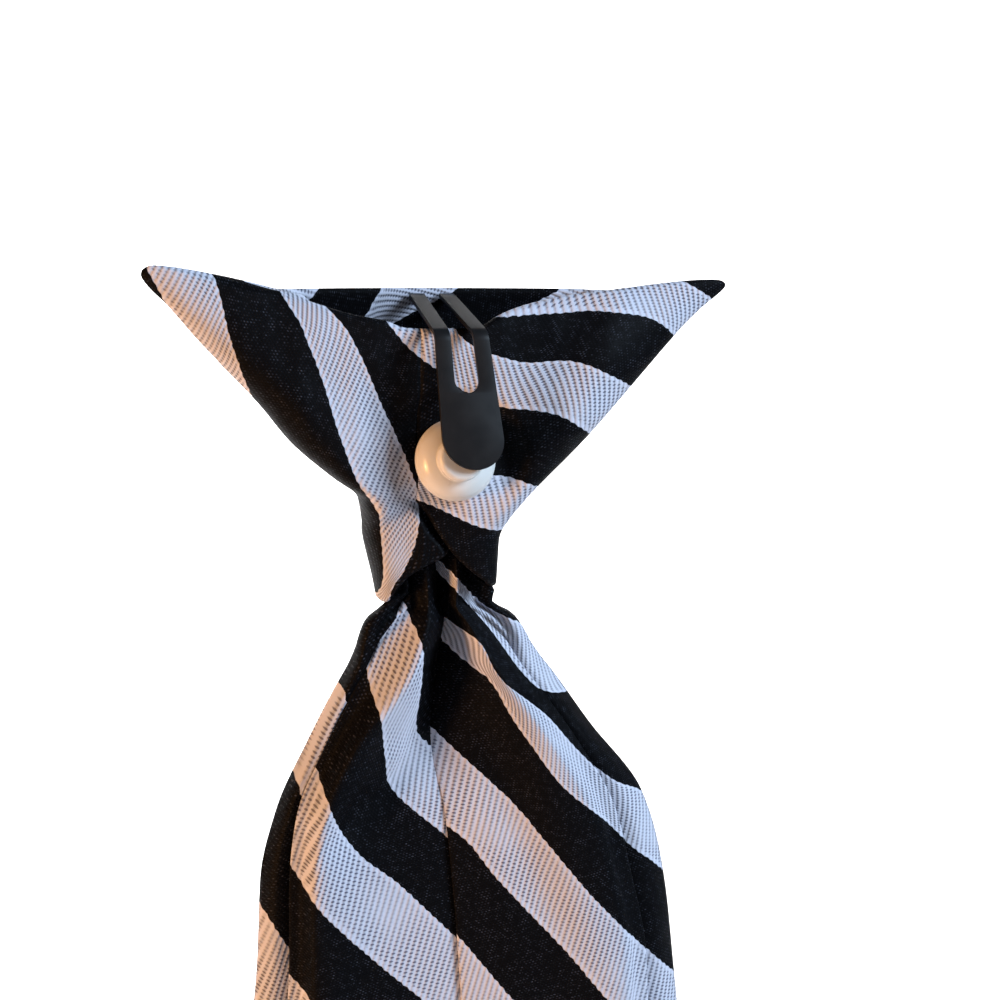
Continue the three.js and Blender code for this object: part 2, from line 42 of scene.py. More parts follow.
# camera
view = {
    "turn": -16.0,        # degrees round the tie, from straight behind it
    "height": 12.0,       # degrees above it
    "roll": 2.0,          # degrees, clockwise
    "place": (-76.079, -286.507, 41.333),
    "lens": 83.05,
}


def addCamera():
    turn, height, roll = (math.radians(view[k]) for k in ("turn", "height", "roll"))
    back = Vector((math.sin(turn) * math.cos(height), -math.cos(turn) * math.cos(height), math.sin(height)))
    right = Vector((math.cos(turn), math.sin(turn), 0))
    up = back.cross(right)
    axes = (right * math.cos(roll) + up * math.sin(roll), up * math.cos(roll) - right * math.sin(roll), back)
    data = bpy.data.cameras.new("photoCamera")
    data.lens = view["lens"]
    data.sensor_width = 36
    data.clip_start = 0.01
    data.clip_end = 20
    camera = bpy.data.objects.new("photoCamera", data)
    camera.matrix_world = Matrix.Translation(Vector(view["place"]) * mm) @ Matrix(axes).transposed().to_4x4()
    bpy.context.collection.objects.link(camera)
    bpy.context.scene.camera = camera


addCamera()
print("camera ready")


# small helpers
def mix(a, b, t):
    return a + (b - a) * t


def ease(t):
    u = min(1.0, max(0.0, t))
    return u * u * (3 - 2 * u)


# turns a header and rows of numbers into named columns
def table(header, rows):
    return {name: [row[i] for row in rows] for i, name in enumerate(header.split())}


# reads a column on a smooth curve that never overshoots its rows
def read(rows, by, place, column):
    at, values = rows[by], rows[column]
    last = len(at) - 1
    if place <= at[0]:
        return values[0]
    if place >= at[last]:
        return values[last]
    i = 0
    while at[i + 1] < place:
        i += 1

    def slope(a, b):
        return (values[b] - values[a]) / (at[b] - at[a])

    def soft(a, b):
        return 2 * a * b / (a + b) if a * b > 0 else 0
    here = slope(i, i + 1)
    before = slope(i - 1, i) if i > 0 else here
    after = slope(i + 1, i + 2) if i < last - 1 else here
    width = at[i + 1] - at[i]
    t = (place - at[i]) / width
    start, end = soft(before, here) * width, soft(here, after) * width
    a, b = values[i], values[i + 1]
    return a + start * t + (3 * (b - a) - 2 * start - end) * t * t + (start + end - 2 * (b - a)) * t ** 3


# a face between rows r and s and columns c and n of a grid of points, and its cloth coordinates
def quad(r, s, c, n, width):
    return r * width + c, r * width + n, s * width + n, s * width + c


def quadCloth(grid, r, s, c, n):
    return [grid[r, c], grid[r, n], grid[s, n], grid[s, c]]


# makes a mesh object from points in mm, faces and one cloth coordinate pair per face corner
def addPiece(name, points, faces, corners, material, smooth=True):
    mesh = bpy.data.meshes.new(name)
    mesh.from_pydata([tuple(c * mm for c in p) for p in points], [], faces)
    if corners is not None:
        layer = mesh.uv_layers.new(name="cloth")
        layer.data.foreach_set("uv", np.asarray(corners, dtype=np.float32).ravel())
    mesh.polygons.foreach_set("use_smooth", [smooth] * len(mesh.polygons))
    mesh.materials.append(material)
    mesh.update()
    piece = bpy.data.objects.new(name, mesh)
    bpy.context.collection.objects.link(piece)
    return piece


# cloth and its stripes
twill = {
    "period": 16.5,                # mm across one dark and one pale stripe
    "dark": 8.5,                   # mm of it that are dark
    "rib": 0.82,                   # mm between the ribs
    "stitch": 0.50,                # mm between the pinholes along a rib
    "ribTurn": 57.0,               # degrees between the ribs and the stripes
    "holeTurn": 35.0,              # degrees between the pinholes and the stripes
    "tooth": 1.3,                  # mm between the teeth of a stripe's edge
    "toothSlope": 0.22,
    "fray": 0.10,                  # mm that a stripe's edge wanders
    "edgeSoft": 0.05,              # mm
    "lowBorder": (0.45, 0.75),     # mm from a pale stripe's edges over which its border fades
    "highBorder": (0.35, 0.6),
    "borderShare": 0.6,
    "borderClean": 0.8,            # how much fainter the pinholes are there
    "holeSize": (0.29, 0.125),     # mm, half its length and half its width
    "holeStagger": 0.35,           # of a stitch, from one rib to the next
    "holeShare": 0.85,
    "holePatches": (0.25, 0.6),    # of the slow unevenness, where the pinholes set in
    "dash": 0.375,                 # mm between the glints of a dark stripe
    "dashSize": (0.15, 0.085),     # mm
    "dashStagger": 0.5,
    "glintPatches": (0.45, 0.75),
    "markSoft": (0.6, 1.2),        # of a mark's size, over which it fades
    "furrowShadeShare": 0.55,           # how much darker the furrows between the ribs are painted, as painted shade
    # painted shade: how dark the pale colour turns in the furrows
    "furrowShadeTone": 0.42,
    "relief": 0.14,                # mm
    "reliefShare": 0.8,
    "rough": 0.58,
    "roughSpread": 0.2,
    "gloss": 0.05,
    "paleColour": (0.58, 0.59, 0.68, 1),
    "borderColour": (0.61, 0.62, 0.72, 1),
    "holeColour": (0.085, 0.085, 0.13, 1),
    "darkColour": (0.0022, 0.0022, 0.0030, 1),
    "glintColour": (0.045, 0.048, 0.062, 1),
}


# a little set of calls that keep node graphs readable
class Graph:
    def __init__(self, name):
        self.material = bpy.data.materials.new(name)
        self.material.use_nodes = True
        self.tree = self.material.node_tree
        self.tree.nodes.clear()

    def node(self, kind, **inputs):
        item = self.tree.nodes.new(kind)
        for key, value in inputs.items():
            self.feed(item.inputs[key.replace("_", " ")], value)
        return item

    def feed(self, socket, value):
        if isinstance(value, bpy.types.NodeSocket):
            self.tree.links.new(value, socket)
        else:
            socket.default_value = value

    def calc(self, operation, *values):
        item = self.tree.nodes.new("ShaderNodeMath")
        item.operation = operation
        for i, value in enumerate(values):
            self.feed(item.inputs[i], value)
        return item.outputs[0]

    def plus(self, a, b):
        return self.calc("ADD", a, b)

    def minus(self, a, b):
        return self.calc("SUBTRACT", a, b)

    def times(self, a, b):
        return self.calc("MULTIPLY", a, b)

    def step(self, value, low, high):      # smooth step from 0 at low to 1 at high
        item = self.tree.nodes.new("ShaderNodeMapRange")
        item.interpolation_type = "SMOOTHSTEP"
        self.feed(item.inputs["Value"], value)
        for key, number in (("From Min", low), ("From Max", high), ("To Min", 0.0), ("To Max", 1.0)):
            item.inputs[key].default_value = number
        return item.outputs[0]

    def blend(self, amount, first, second):
        item = self.tree.nodes.new("ShaderNodeMix")
        item.data_type = "RGBA"
        self.feed(item.inputs[0], amount)
        self.feed(item.inputs[6], first)
        self.feed(item.inputs[7], second)
        return item.outputs[2]

    def noise(self, scale, detail):      # scale in 1/m
        place = self.tree.nodes.new("ShaderNodeTexCoord").outputs["Object"]
        return self.node("ShaderNodeTexNoise", Vector=place, Scale=scale, Detail=detail).outputs[0]

    def relief(self, height, share, distance):      # distance in mm
        return self.node("ShaderNodeBump", Height=height, Strength=share, Distance=distance * mm).outputs[0]

    def surface(self, **inputs):
        shader = self.node("ShaderNodeBsdfPrincipled", **inputs)
        out = self.node("ShaderNodeOutputMaterial")
        self.tree.links.new(shader.outputs[0], out.inputs[0])
        return self.material


def stripedTwillMaterial():
    g = Graph("stripedTwill")
    calc, plus, minus, times = g.calc, g.plus, g.minus, g.times
    uv = g.tree.nodes.new("ShaderNodeUVMap")
    uv.uv_map = "cloth"
    split = g.node("ShaderNodeSeparateXYZ", Vector=uv.outputs[0])
    along, across = split.outputs[0], split.outputs[1]
    # slow and fine unevenness of the weaving
    slow = g.noise(90.0, 3.0)
    fine = g.noise(1400.0, 2.0)
    # teeth along the stripe's edge
    tooth = calc("PINGPONG", along, twill["tooth"] / 2)
    teeth = times(minus(tooth, twill["tooth"] / 4), twill["toothSlope"])
    fray = times(minus(fine, 0.5), twill["fray"])
    phase = calc("FLOORED_MODULO", plus(plus(across, teeth), fray), twill["period"])
    pale = g.step(phase, twill["dark"] - twill["edgeSoft"], twill["dark"] + twill["edgeSoft"])
    dark = minus(1.0, pale)
    # brighter borders of a pale stripe, with few pinholes
    fromLow = minus(phase, twill["dark"])
    fromHigh = minus(twill["period"], phase)
    lowBorder = minus(1.0, g.step(fromLow, *twill["lowBorder"]))
    highBorder = minus(1.0, g.step(fromHigh, *twill["highBorder"]))
    border = calc("MAXIMUM", lowBorder, highBorder)

    # ribs cross the stripes, and the stitches lie along them
    s, c = (f(math.radians(twill["ribTurn"])) for f in (math.sin, math.cos))
    leanSin, leanCos = (f(math.radians(twill["holeTurn"])) for f in (math.sin, math.cos))

    def turned(first, second, a, b):      # first * a + second * b
        return plus(times(first, a), times(second, b))

    # one oval mark in each cell of a slanting lattice, and the place across the ribs
    def marks(rib, stitch, size, stagger):
        row = calc("DIVIDE", turned(along, across, s, c), rib)
        run = calc("DIVIDE", turned(across, along, s, -c), stitch)
        run = plus(run, times(calc("FLOOR", row), stagger))
        r = minus(calc("FRACT", row), 0.5)
        t = minus(calc("FRACT", run), 0.5)
        u = turned(r, t, s * rib, -c * stitch)
        v = turned(r, t, c * rib, s * stitch)
        lengthwise = calc("DIVIDE", turned(u, v, leanCos, leanSin), size[0])
        sideways = calc("DIVIDE", turned(v, u, leanCos, -leanSin), size[1])
        far = calc("SQRT", plus(calc("POWER", lengthwise, 2.0), calc("POWER", sideways, 2.0)))
        return row, minus(1.0, g.step(far, *twill["markSoft"]))

    row, hole = marks(twill["rib"], twill["stitch"], twill["holeSize"], twill["holeStagger"])
    dash = marks(twill["rib"] / 2, twill["dash"], twill["dashSize"], twill["dashStagger"])[1]
    hole = times(hole, minus(1.0, times(border, twill["borderClean"])))
    hole = times(hole, g.step(slow, *twill["holePatches"]))
    # 1 in the furrow between two ribs, where the pinholes are, and 0 on the crest of a rib; the pale colour
    # is darkened there as painted shade
    wave = calc("COSINE", times(row, 2 * math.pi))
    furrow = calc("POWER", minus(0.5, times(wave, 0.5)), 2.0)
    # painted shade: the pale colour darkened in the furrows between the ribs
    furrowShadeColour = tuple(v * twill["furrowShadeTone"] for v in twill["paleColour"][:3]) + (1,)
    plain = g.blend(times(furrow, twill["furrowShadeShare"]), twill["paleColour"], furrowShadeColour)
    plain = g.blend(times(border, twill["borderShare"]), plain, twill["borderColour"])
    paleSide = g.blend(times(hole, twill["holeShare"]), plain, twill["holeColour"])
    glints = times(dash, g.step(fine, *twill["glintPatches"]))
    darkSide = g.blend(glints, twill["darkColour"], twill["glintColour"])
    # threads stand up between the pinholes and along the ribs
    paleHeight = minus(times(furrow, -0.8), times(hole, 0.6))
    darkHeight = times(dash, 0.8)
    height = plus(times(paleHeight, pale), times(darkHeight, dark))
    uneven = times(minus(slow, 0.5), twill["roughSpread"])
    return g.surface(Base_Color=g.blend(pale, darkSide, paleSide),
                     Roughness=plus(twill["rough"], uneven), Specular_IOR_Level=twill["gloss"],
                     Normal=g.relief(height, twill["reliefShare"], twill["relief"]))


clothTwill = stripedTwillMaterial()


# Where the stripes lie on each face of the tie. u is x seen from outside the cloth, in mm. along is
# the run of the stripes. Each edge is the distance across the cloth, then points (u, z) along it.
stripeFields = {
    "leftFlap": {"along": (0.45, -0.893), "edges": [
        (-8, [(-39.4, 7.4), (-38.4, 5.4), (-37, 3), (-35.4, 0.2), (-31.4, -6), (-26, -16)]),
        (0, [(-31.4, 8), (-30.4, 4.5), (-30, 1.6), (-29.4, -1.3), (-27.7, -6), (-22, -16), (-18, -24)]),
        (8.5, [(-22.8, 6), (-22.5, 4.4), (-20.4, 1.7), (-19.3, -1.7), (-17.5, -6.5), (-16, -12),
               (-13.9, -17.6), (-12.7, -20.3), (-10.4, -22.5), (-9.1, -25.9), (-8.7, -29.2),
               (-8.2, -34), (-8.6, -38)]),
        (16.5, [(-17.6, 4), (-16.5, 2.5), (-14.6, 1), (-12.2, -3.7), (-9.6, -9.8), (-6.8, -15),
                (-5.3, -19.2), (-3.9, -22.4), (-4, -24.5), (-4.5, -28), (-5, -30.6), (-6.6, -33.3),
                (-8.7, -37)]),
        (25, [(-10, 2.5), (-8.8, 0.9), (-6, -2.5), (-2.8, -4.5), (1.4, -7.9), (5.8, -10)]),
        (33, [(-1, 2.5), (0.1, 0.2), (1.9, -1.7), (4.4, -2.8), (9.8, -4.3)]),
    ]},
    "rightFlap": {"along": (0.9, -0.436), "edges": [
        (8.5, [(-4.6, -22.3), (-3.8, -22.5), (-1.3, -23.6), (2.8, -25.6), (4.2, -26.2), (6, -26.5),
               (9, -27.4)]),
        (16.5, [(-4.6, -18.2), (0, -18.6), (5.7, -19.1), (7.9, -19.3), (9.7, -19.9), (13, -21.2)]),
        (25, [(-8.8, 0.9), (-6, -2.5), (-2.8, -4.5), (1.4, -7.9), (5.8, -10), (10.7, -10.2),
              (13.9, -10.6), (17.6, -12.9), (20, -14.4)]),
        (33, [(-1, 2.5), (0.1, 0.2), (1.9, -1.7), (4.4, -2.8), (9.8, -4.3), (14, -3.7), (17.2, -3.9),
              (21.1, -5.7), (24.2, -7.2), (27, -8.8)]),
        (41.5, [(2, 1.6), (5.8, 1.6), (10.1, 1.9), (14.4, 2.1), (18.9, 2.6), (23.2, 2.3), (26.5, 1.9),
                (28.8, 1.1), (31, -0.6), (33, -2.4)]),
        (49.5, [(20, 12), (29.4, 7.4), (33.2, 6), (36.9, 4), (40, 2)]),
    ]},
    "hemInside": {"along": (-0.8, -0.6), "edges": [
        (8.5, [(-7.6, 5), (-8.2, 3.8), (-10.1, -0.1), (-11.5, -3)]),
        (16.5, [(4, 5.1), (1.6, 3.8), (-4.7, 0.5), (-8, -1.4)]),
        (25, [(18, 5), (16.3, 4.1), (8.4, -0.1), (5, -2)]),
    ]},
    "face": {"along": (-0.707, -0.707), "edges": [
        (0, [(10, -22.5), (0, -32.5)]),
    ]},
    "rollLeft": {"along": (0.707, -0.707), "edges": [
        (-16.5, [(-26, -77.6), (-23.4, -80.5), (-19.2, -87.4), (-17.5, -90.5)]),
        (-8, [(-20, -58.5), (-19.1, -61.2), (-18.4, -64.8), (-17, -67.5)]),
        (0, [(-14.2, -45), (-13, -48.1), (-12.9, -51), (-11.8, -53.5)]),
        (8.5, [(-24, -14), (-2, -36)]),
    ]},
    "panelLeft": {"along": (0.707, -0.707), "edges": [
        (-16.5, [(-19.6, -89.9), (-18.4, -91.1), (-17.2, -92.6), (-10, -99.8)]),
        (-8, [(-19.6, -73.9), (-19.1, -74.8), (-18.6, -76.1), (-16.4, -79.3), (-12.1, -83.9),
              (-7.8, -88.2), (-1.6, -93.9)]),
        (0, [(-16.8, -59), (-16.3, -60.5), (-15.9, -63.9), (-13.4, -68.8), (-10.5, -72.6),
             (-5.3, -76.6), (-1.9, -80.1), (3.4, -85.5)]),
        (8.5, [(-10.6, -43.6), (-10.2, -44.9), (-9.2, -50.8), (-7.4, -58.3), (-6.5, -63.5), (-2.7, -67),
               (1.3, -70.3)]),
        (16.5, [(-5.4, -36), (-4.3, -38.9), (-3.3, -42.2), (-2.6, -47), (-2.6, -52), (-3, -55.8),
                (0.3, -59.1), (3, -61.6)]),
        (25, [(-14, -8), (14, -36)]),
    ]},
    "panelRight": {"along": (0.707, -0.707), "edges": [
        (0, [(2, -83.6), (4, -85.6), (7.2, -89.6), (11, -94.3)]),
        (8.5, [(0.4, -68.2), (1.7, -69.2), (4.7, -71.3), (7.9, -75.9), (13.1, -81.6), (18.9, -87.8),
               (25.1, -95.5)]),
        (16.5, [(-0.8, -55.2), (0.7, -56.6), (2.6, -58.4), (5.9, -61.3), (11, -66), (16.9, -73.4),
                (21.5, -79), (28.2, -86)]),
        (25, [(-1.6, -40.6), (0, -42), (2.8, -45.1), (6.9, -47.7), (10, -53.4), (13.5, -58.6),
              (17, -63.2), (23.1, -68.1)]),
        (33, [(0, -39), (1.4, -40.6), (4.8, -41.6), (7, -47), (12.1, -50.9), (15.5, -53.8),
              (19.2, -58.2)]),
        (41.5, [(2.1, -35.6), (7.2, -41.5), (11.3, -47.3), (14.2, -50.3), (19.7, -51.8)]),
        (49.5, [(1.7, -34), (5.2, -37.6), (8.8, -39.6), (12, -41)]),
        (58, [(-10, -4), (20, -34)]),
    ]},
    "rollRight": {"along": (0.707, -0.707), "edges": [
        (16.5, [(26, -84.2), (28.5, -86.6), (33.1, -90.9), (37.3, -94.9)]),
        (25, [(23, -68), (24, -68.8), (29.2, -74.5), (32.2, -76.6), (35, -79.2)]),
        (33, [(19.5, -58.6), (21.1, -60.4), (26.2, -64.4), (30.2, -66.3), (33, -68.4)]),
        (41.5, [(2.1, -35.6), (7.2, -41.5), (11.3, -47.3), (14.2, -50.3), (19.7, -51.8), (22, -53)]),
        (49.5, [(1.7, -34), (5.2, -37.6), (8.8, -39.6), (12, -41)]),
        (58, [(-10, -4), (20, -34)]),
    ]},
}


# cloth coordinates of points seen at (u, z): along the stripes, and across them
def clothAt(fieldName, u, z):
    field = stripeFields[fieldName]
    tu, tz = field["along"]
    along = u * tu + z * tz
    across = -u * tz + z * tu
    levels, lines = [], []
    spread = np.linspace(-1.6, 1.6, 5)      # mm over which corners in an edge are softened
    for level, line in field["edges"]:
        at = np.array([p[0] * tu + p[1] * tz for p in line])
        off = np.array([-p[0] * tz + p[1] * tu for p in line])
        order = np.argsort(at)
        smooth = sum(np.interp(along + d, at[order], off[order]) for d in spread) / len(spread)
        if lines:
            smooth = np.maximum(smooth, lines[-1] + 1.0)      # mm that two edges stay apart
        levels.append(level)
        lines.append(smooth)
    result = levels[0] + (across - lines[0])
    for i in range(len(levels) - 1):
        inside = across >= lines[i]
        share = (across - lines[i]) / (lines[i + 1] - lines[i])
        result = np.where(inside, levels[i] + share * (levels[i + 1] - levels[i]), result)
    return along, np.where(across >= lines[-1], levels[-1] + across - lines[-1], result)


# the knot
knotSize = {
    "wingSpan": 78.6, "knotDrop": 37.5, "knotDepth": 14.5, "backRollGap": 0.1, "wrapWall": 1.4,
    "knobSeatDish": 2.6, "dishMargin": 2.0, "hemTop": -0.12, "seamSide": -0.115, "faceStep": 0.1,
    "rollAt": 0.72,       # of a flap's width, where its roll stands proudest
    "dishReach": 5.0,     # mm above and below the knob that its dish is tipped
    "neckInset": 1.15,    # walls between the neck's side and its hollow
    "innerCorner": 0.93,  # of a flap's inside, where it turns forward
    "tipRound": 2.0,      # mm that the wing tips are rounded by
    "flapTip": 0.94,      # of a flap's width, where that rounding starts
    "wingTip": 0.08,      # of a wing's front, where it ends
    "tipProud": 1.5,      # mm that the tips are set out by
    "tipFrom": -0.06,     # of the drop, where that starts
    "tipRun": 0.12,
    "rimSag": 1.3,        # mm that a wing's front rim hangs below its back one
    "neckCrease": 0.9,    # mm high
    "creaseWidth": 0.9,   # mm
    "rimClose": 0.98,     # how near the skins come at the rims, so that no face is empty
    "detailFade": 0.12,   # of a flap's width, next to its side
}
halfSpan = knotSize["wingSpan"] / 2
knotDrop, knotDepth, wall = knotSize["knotDrop"], knotSize["knotDepth"], knotSize["wrapWall"]
seamX = halfSpan * knotSize["seamSide"]
knob = {
    "drop": 17.0, "side": 0.3, "flangeRadius": 5.45, "flangeThick": 1.5, "bossRadius": 4.0,
    "height": 5.5, "round": 0.7,
    "tip": 0.26,          # how far it is tipped up, as a slope
    "proud": 0.65,        # mm that its boss is higher than the solid's
    "slim": 0.9,          # mm that its boss is slimmer than the solid's
    "dome": 1.9,          # mm from the flange up to the groove under the boss
    "sideLean": 0.08,     # as a slope
    "milk": ((0.62, 0.62, 0.60, 1), (0.70, 0.70, 0.68, 1)),
    "rough": 0.22, "roughSpread": 0.16, "gloss": 0.5,
    "glow": 0.3,          # share of the light that goes in below the surface
    "glowReach": (0.0016, 0.0015, 0.0014),      # m
}
gap = 0.3

knotSections = table("drop left right face roll valley side wing crown", [
    (-0.22, 1.000, 1.013, 0.534, 0.49, 0.46, 0.60, 0.72, 0.93),
    (-0.12, 0.964, 0.969, 0.534, 0.39, 0.37, 0.59, 0.74, 0.94),
    (0.00, 0.876, 0.852, 0.514, 0.24, 0.21, 0.57, 0.77, 0.98),
    (0.13, 0.762, 0.735, 0.478, 0.12, 0.18, 0.55, 0.77, 1.00),
    (0.27, 0.634, 0.613, 0.433, 0.05, 0.17, 0.53, 0.77, 1.00),
    (0.41, 0.522, 0.486, 0.377, 0.01, 0.17, 0.51, 0.75, 0.99),
    (0.53, 0.386, 0.366, 0.316, 0.02, 0.16, 0.49, 0.72, 0.97),
    (0.60, 0.297, 0.298, 0.277, 0.03, 0.16, 0.48, 0.70, 0.94),
    (0.68, 0.272, 0.237, 0.242, 0.08, 0.17, 0.48, 0.69, 0.91),
    (0.76, 0.260, 0.201, 0.219, 0.12, 0.17, 0.48, 0.68, 0.88),
    (0.92, 0.224, 0.198, 0.201, 0.17, 0.19, 0.48, 0.66, 0.84),
    (1.00, 0.209, 0.186, 0.188, 0.20, 0.21, 0.49, 0.65, 0.81),
])
leftFlapRims = table("out top bottom", [
    (0.00, -0.008, 0.775), (0.06, -0.010, 0.780), (0.15, -0.035, 0.790), (0.28, -0.055, 0.812),
    (0.50, -0.115, 0.845), (0.65, -0.145, 0.878), (0.80, -0.188, 0.928), (0.93, -0.226, 0.975),
    (1.00, -0.238, 1.000),
])
rightFlapRims = table("out top bottom", [
    (0.00, -0.008, 0.605), (0.10, -0.008, 0.650), (0.21, -0.010, 0.710), (0.26, -0.045, 0.730),
    (0.34, -0.080, 0.765), (0.50, -0.120, 0.825), (0.80, -0.166, 0.905), (1.00, -0.190, 0.945),
])
knotCache = {}


def knotAt(drop, column):
    key = (round(drop, 5), column)
    if key not in knotCache:
        knotCache[key] = read(knotSections, "drop", drop, column)
    return knotCache[key]


def depthAt(share):
    return knotSize["backRollGap"] + share * knotDepth


def reach(drop, side):
    return side * halfSpan * knotAt(drop, "left" if side < 0 else "right")


def faceMiddle(drop):
    return (reach(drop, -1) + reach(drop, 1)) / 2


def backDepth(drop, side, out):
    x = mix(seamX, reach(drop, side), out)
    valley, roll, edge = (depthAt(knotAt(drop, k)) for k in ("valley", "roll", "side"))
    rollAt = knotSize["rollAt"]
    y = mix(valley, roll, ease(out / rollAt))
    if out > rollAt:
        u = (out - rollAt) / (1 - rollAt)
        y = mix(roll, edge, 1 - math.sqrt(max(0.0, 1 - u * u)))
    away = math.hypot(x - knob["side"], drop * knotDrop - knob["drop"])
    pressed = 1 - ease((away - knob["flangeRadius"] - knotSize["dishMargin"]) / (knob["flangeRadius"] / 2))
    # the knob is tipped up until it lies flat under the tab, and its dish with it
    above = max(-knotSize["dishReach"], min(knotSize["dishReach"], knob["drop"] - drop * knotDrop))
    seat = knotSize["knobSeatDish"] + knob["tip"] * above
    return mix(y, max(y, seat), pressed)


def frontDepth(drop, part, share):
    wing, crown, edge = (depthAt(knotAt(drop, k)) for k in ("wing", "crown", "side"))
    rim = crown - knotSize["faceStep"] * knotDepth
    if part == "wing":
        return mix(edge, min(wing, rim), math.sqrt(share))
    return mix(rim, crown, math.sqrt(max(0.0, 1 - (1 - share) ** 2)))


def hollowReach(drop, side):
    underFace = faceMiddle(drop) + side * (halfSpan * knotAt(drop, "face") + gap - wall)
    insideNeck = reach(drop, side) - side * wall * knotSize["neckInset"]
    return max(underFace, insideNeck) if side < 0 else min(underFace, insideNeck)


# the right flap's hem runs down to the right; the left flap reaches under it there
rightHemLine = table("drop x", [(0.58, -4.52), (0.605, -4.3), (0.65, -3.1),
                                (0.71, -1.7), (0.765, 0.1), (0.825, 1.7)])
overlap = {
    "top": 0.58,          # of the drop, where the right flap begins to lie over the left one
    "past": 1.5,          # mm that the left flap starts beyond the right one's hem
    "pastRun": 0.05,      # of the drop, over which that sets in
    "tuck": 1.55,         # mm that the left flap is tucked in
    "tuckRun": 0.04,
    "lead": 1.8,          # mm left of the hem where the tuck begins
    "run": 1.9,           # mm
    "inside": 0.55,       # share of the tuck that the inner skin gives up
}


def flapStart(drop, side):
    if side > 0 or drop < overlap["top"]:
        return seamX
    hem = read(rightHemLine, "drop", drop, "x")
    return hem + overlap["past"] * ease((drop - overlap["top"]) / overlap["pastRun"])


# how far the left flap is tucked in where it passes under the right one
def tuck(x, drop, side):
    if side > 0 or drop < overlap["top"]:
        return 0.0
    hem = read(rightHemLine, "drop", drop, "x")
    setIn = ease((drop - overlap["top"]) / overlap["tuckRun"])
    return overlap["tuck"] * ease((x - hem + overlap["lead"]) / overlap["run"]) * setIn


def knotColumns():
    rollAt = knotSize["rollAt"]
    flap = [rollAt * i / 34 for i in range(35)]
    flap += [rollAt + (1 - rollAt) * math.sin(i / 14 * math.pi / 2) for i in range(1, 14)]
    wing = [(i / 12) ** 2 for i in range(12)]
    face = [1 - math.cos(i / 26 * math.pi / 2) for i in range(26)]

    def half(side):
        return ([("flap", side, s) for s in flap] + [("wing", side, s) for s in wing]
                + [("face", side, s) for s in face])
    return half(-1) + [("face", 1, 1.0)] + half(1)[::-1]


# where a column of the knot begins and ends, as shares of its drop
def columnEnds(part, side, share):
    rims = leftFlapRims if side < 0 else rightFlapRims
    top, bottom = rims["top"][-1], rims["bottom"][-1]

    def lowered(toTip):      # the rounding at the tip, where toTip is 1
        return knotSize["tipRound"] / knotDrop * (1 - math.sqrt(1 - max(0.0, toTip) ** 2))
    if part == "flap":
        lower = lowered((share - knotSize["flapTip"]) / (1 - knotSize["flapTip"]))
        return read(rims, "out", share, "top") + lower, read(rims, "out", share, "bottom")
    if part == "wing":
        lower = lowered(1 - share / knotSize["wingTip"])
        sag = knotSize["rimSag"] / knotDrop * math.sin(math.pi * math.sqrt(share))
        return mix(top, knotSize["hemTop"], share) + lower + sag, bottom
    return knotSize["hemTop"], mix(bottom, 1, share)


# the wing tips stand a little prouder than the solid, before they are rounded
def visualReach(drop, side):
    proud = ease((knotSize["tipFrom"] - drop) / knotSize["tipRun"])
    return reach(drop, side) + side * knotSize["tipProud"] * proud


# The creases above the neck: where the line runs, its share of the full depth, and how far out from
# the middle it starts and sets in, in mm.
neckCreases = {
    -1: {"z": -21.6, "slope": 0.22, "middle": -4.5, "share": 1.0, "start": 3.0, "run": 4.0},
    1: {"z": -27.2, "slope": 0.15, "middle": 5.0, "share": 0.4, "start": -3.0, "run": 5.0},
}


def creaseHeight(x, side):
    crease = neckCreases[side]
    return crease["z"] + crease["slope"] * (x - crease["middle"])


neckSide = {
    "turn": 2.8,          # mm that it turns away
    "start": 3.5,         # mm left of the middle
    "run": 6.0,           # mm from there to the full turn
    "soft": 1.6,          # mm below the crease over which it sets in
    "fan": 0.9,           # mm more of that for each mm beyond fanStart
    "fanStart": 6.0,
}


# how far the left side of the neck is turned away
def turnedAway(x, z, side):
    if side > 0:
        return 0.0
    soft = neckSide["soft"] + neckSide["fan"] * max(0.0, -x - neckSide["fanStart"])
    setIn = ease((creaseHeight(x, side) - z) / soft)
    return setIn * neckSide["turn"] * max(0.0, (-x - neckSide["start"]) / neckSide["run"])


def backSkin(x, drop, side):
    edge = visualReach(drop, side)
    depth = backDepth(drop, side, min(1.0, max(0.0, (x - seamX) / (edge - seamX))))
    return depth + tuck(x, drop, side) + turnedAway(x, -drop * knotDrop, side)


def knotOuter(part, side, share, drop):
    edge = visualReach(drop, side)
    faceEdge = faceMiddle(drop) + side * halfSpan * knotAt(drop, "face")
    if part == "flap":
        x = mix(flapStart(drop, side), edge, share)
        return x, backSkin(x, drop, side), -drop * knotDrop
    x = mix(edge, faceEdge, share) if part == "wing" else mix(faceEdge, faceMiddle(drop), share)
    y = frontDepth(drop, part, share)
    if part == "wing":
        y += turnedAway(edge, -drop * knotDrop, side) * (1 - math.sqrt(share))
    return x, y, -drop * knotDrop


def knotInner(part, side, share, drop):
    edge = hollowReach(drop, side)
    start = flapStart(drop, side)
    far = visualReach(drop, side)

    def backAt(x):
        return backSkin(x, drop, side) + wall - overlap["inside"] * tuck(x, drop, side)
    frontRim = frontDepth(drop, "face", 0.0) - wall
    middle = (backAt(edge) + frontRim) / 2
    if part == "flap":
        corner = knotSize["innerCorner"]
        cornerShare = corner * (edge - start) / (far - start)
        turn = max(0.0, (share - cornerShare) / (1 - cornerShare)) * math.pi / 2
        turned = mix(start, edge, corner + (1 - corner) * math.sin(turn))
        x = mix(start, far, share) if turn == 0 else turned
        return x, mix(backAt(x), middle, 1 - math.cos(turn)), -drop * knotDrop
    if part == "wing":      # the hollow's straight side, up to 0.85 of the way
        return edge, mix(middle, frontRim, share * 0.8 + 0.05), -drop * knotDrop
    y = mix(middle, frontRim, 0.95) if share == 0 else frontDepth(drop, "face", share) - wall
    return mix(edge, faceMiddle(drop), share), y, -drop * knotDrop


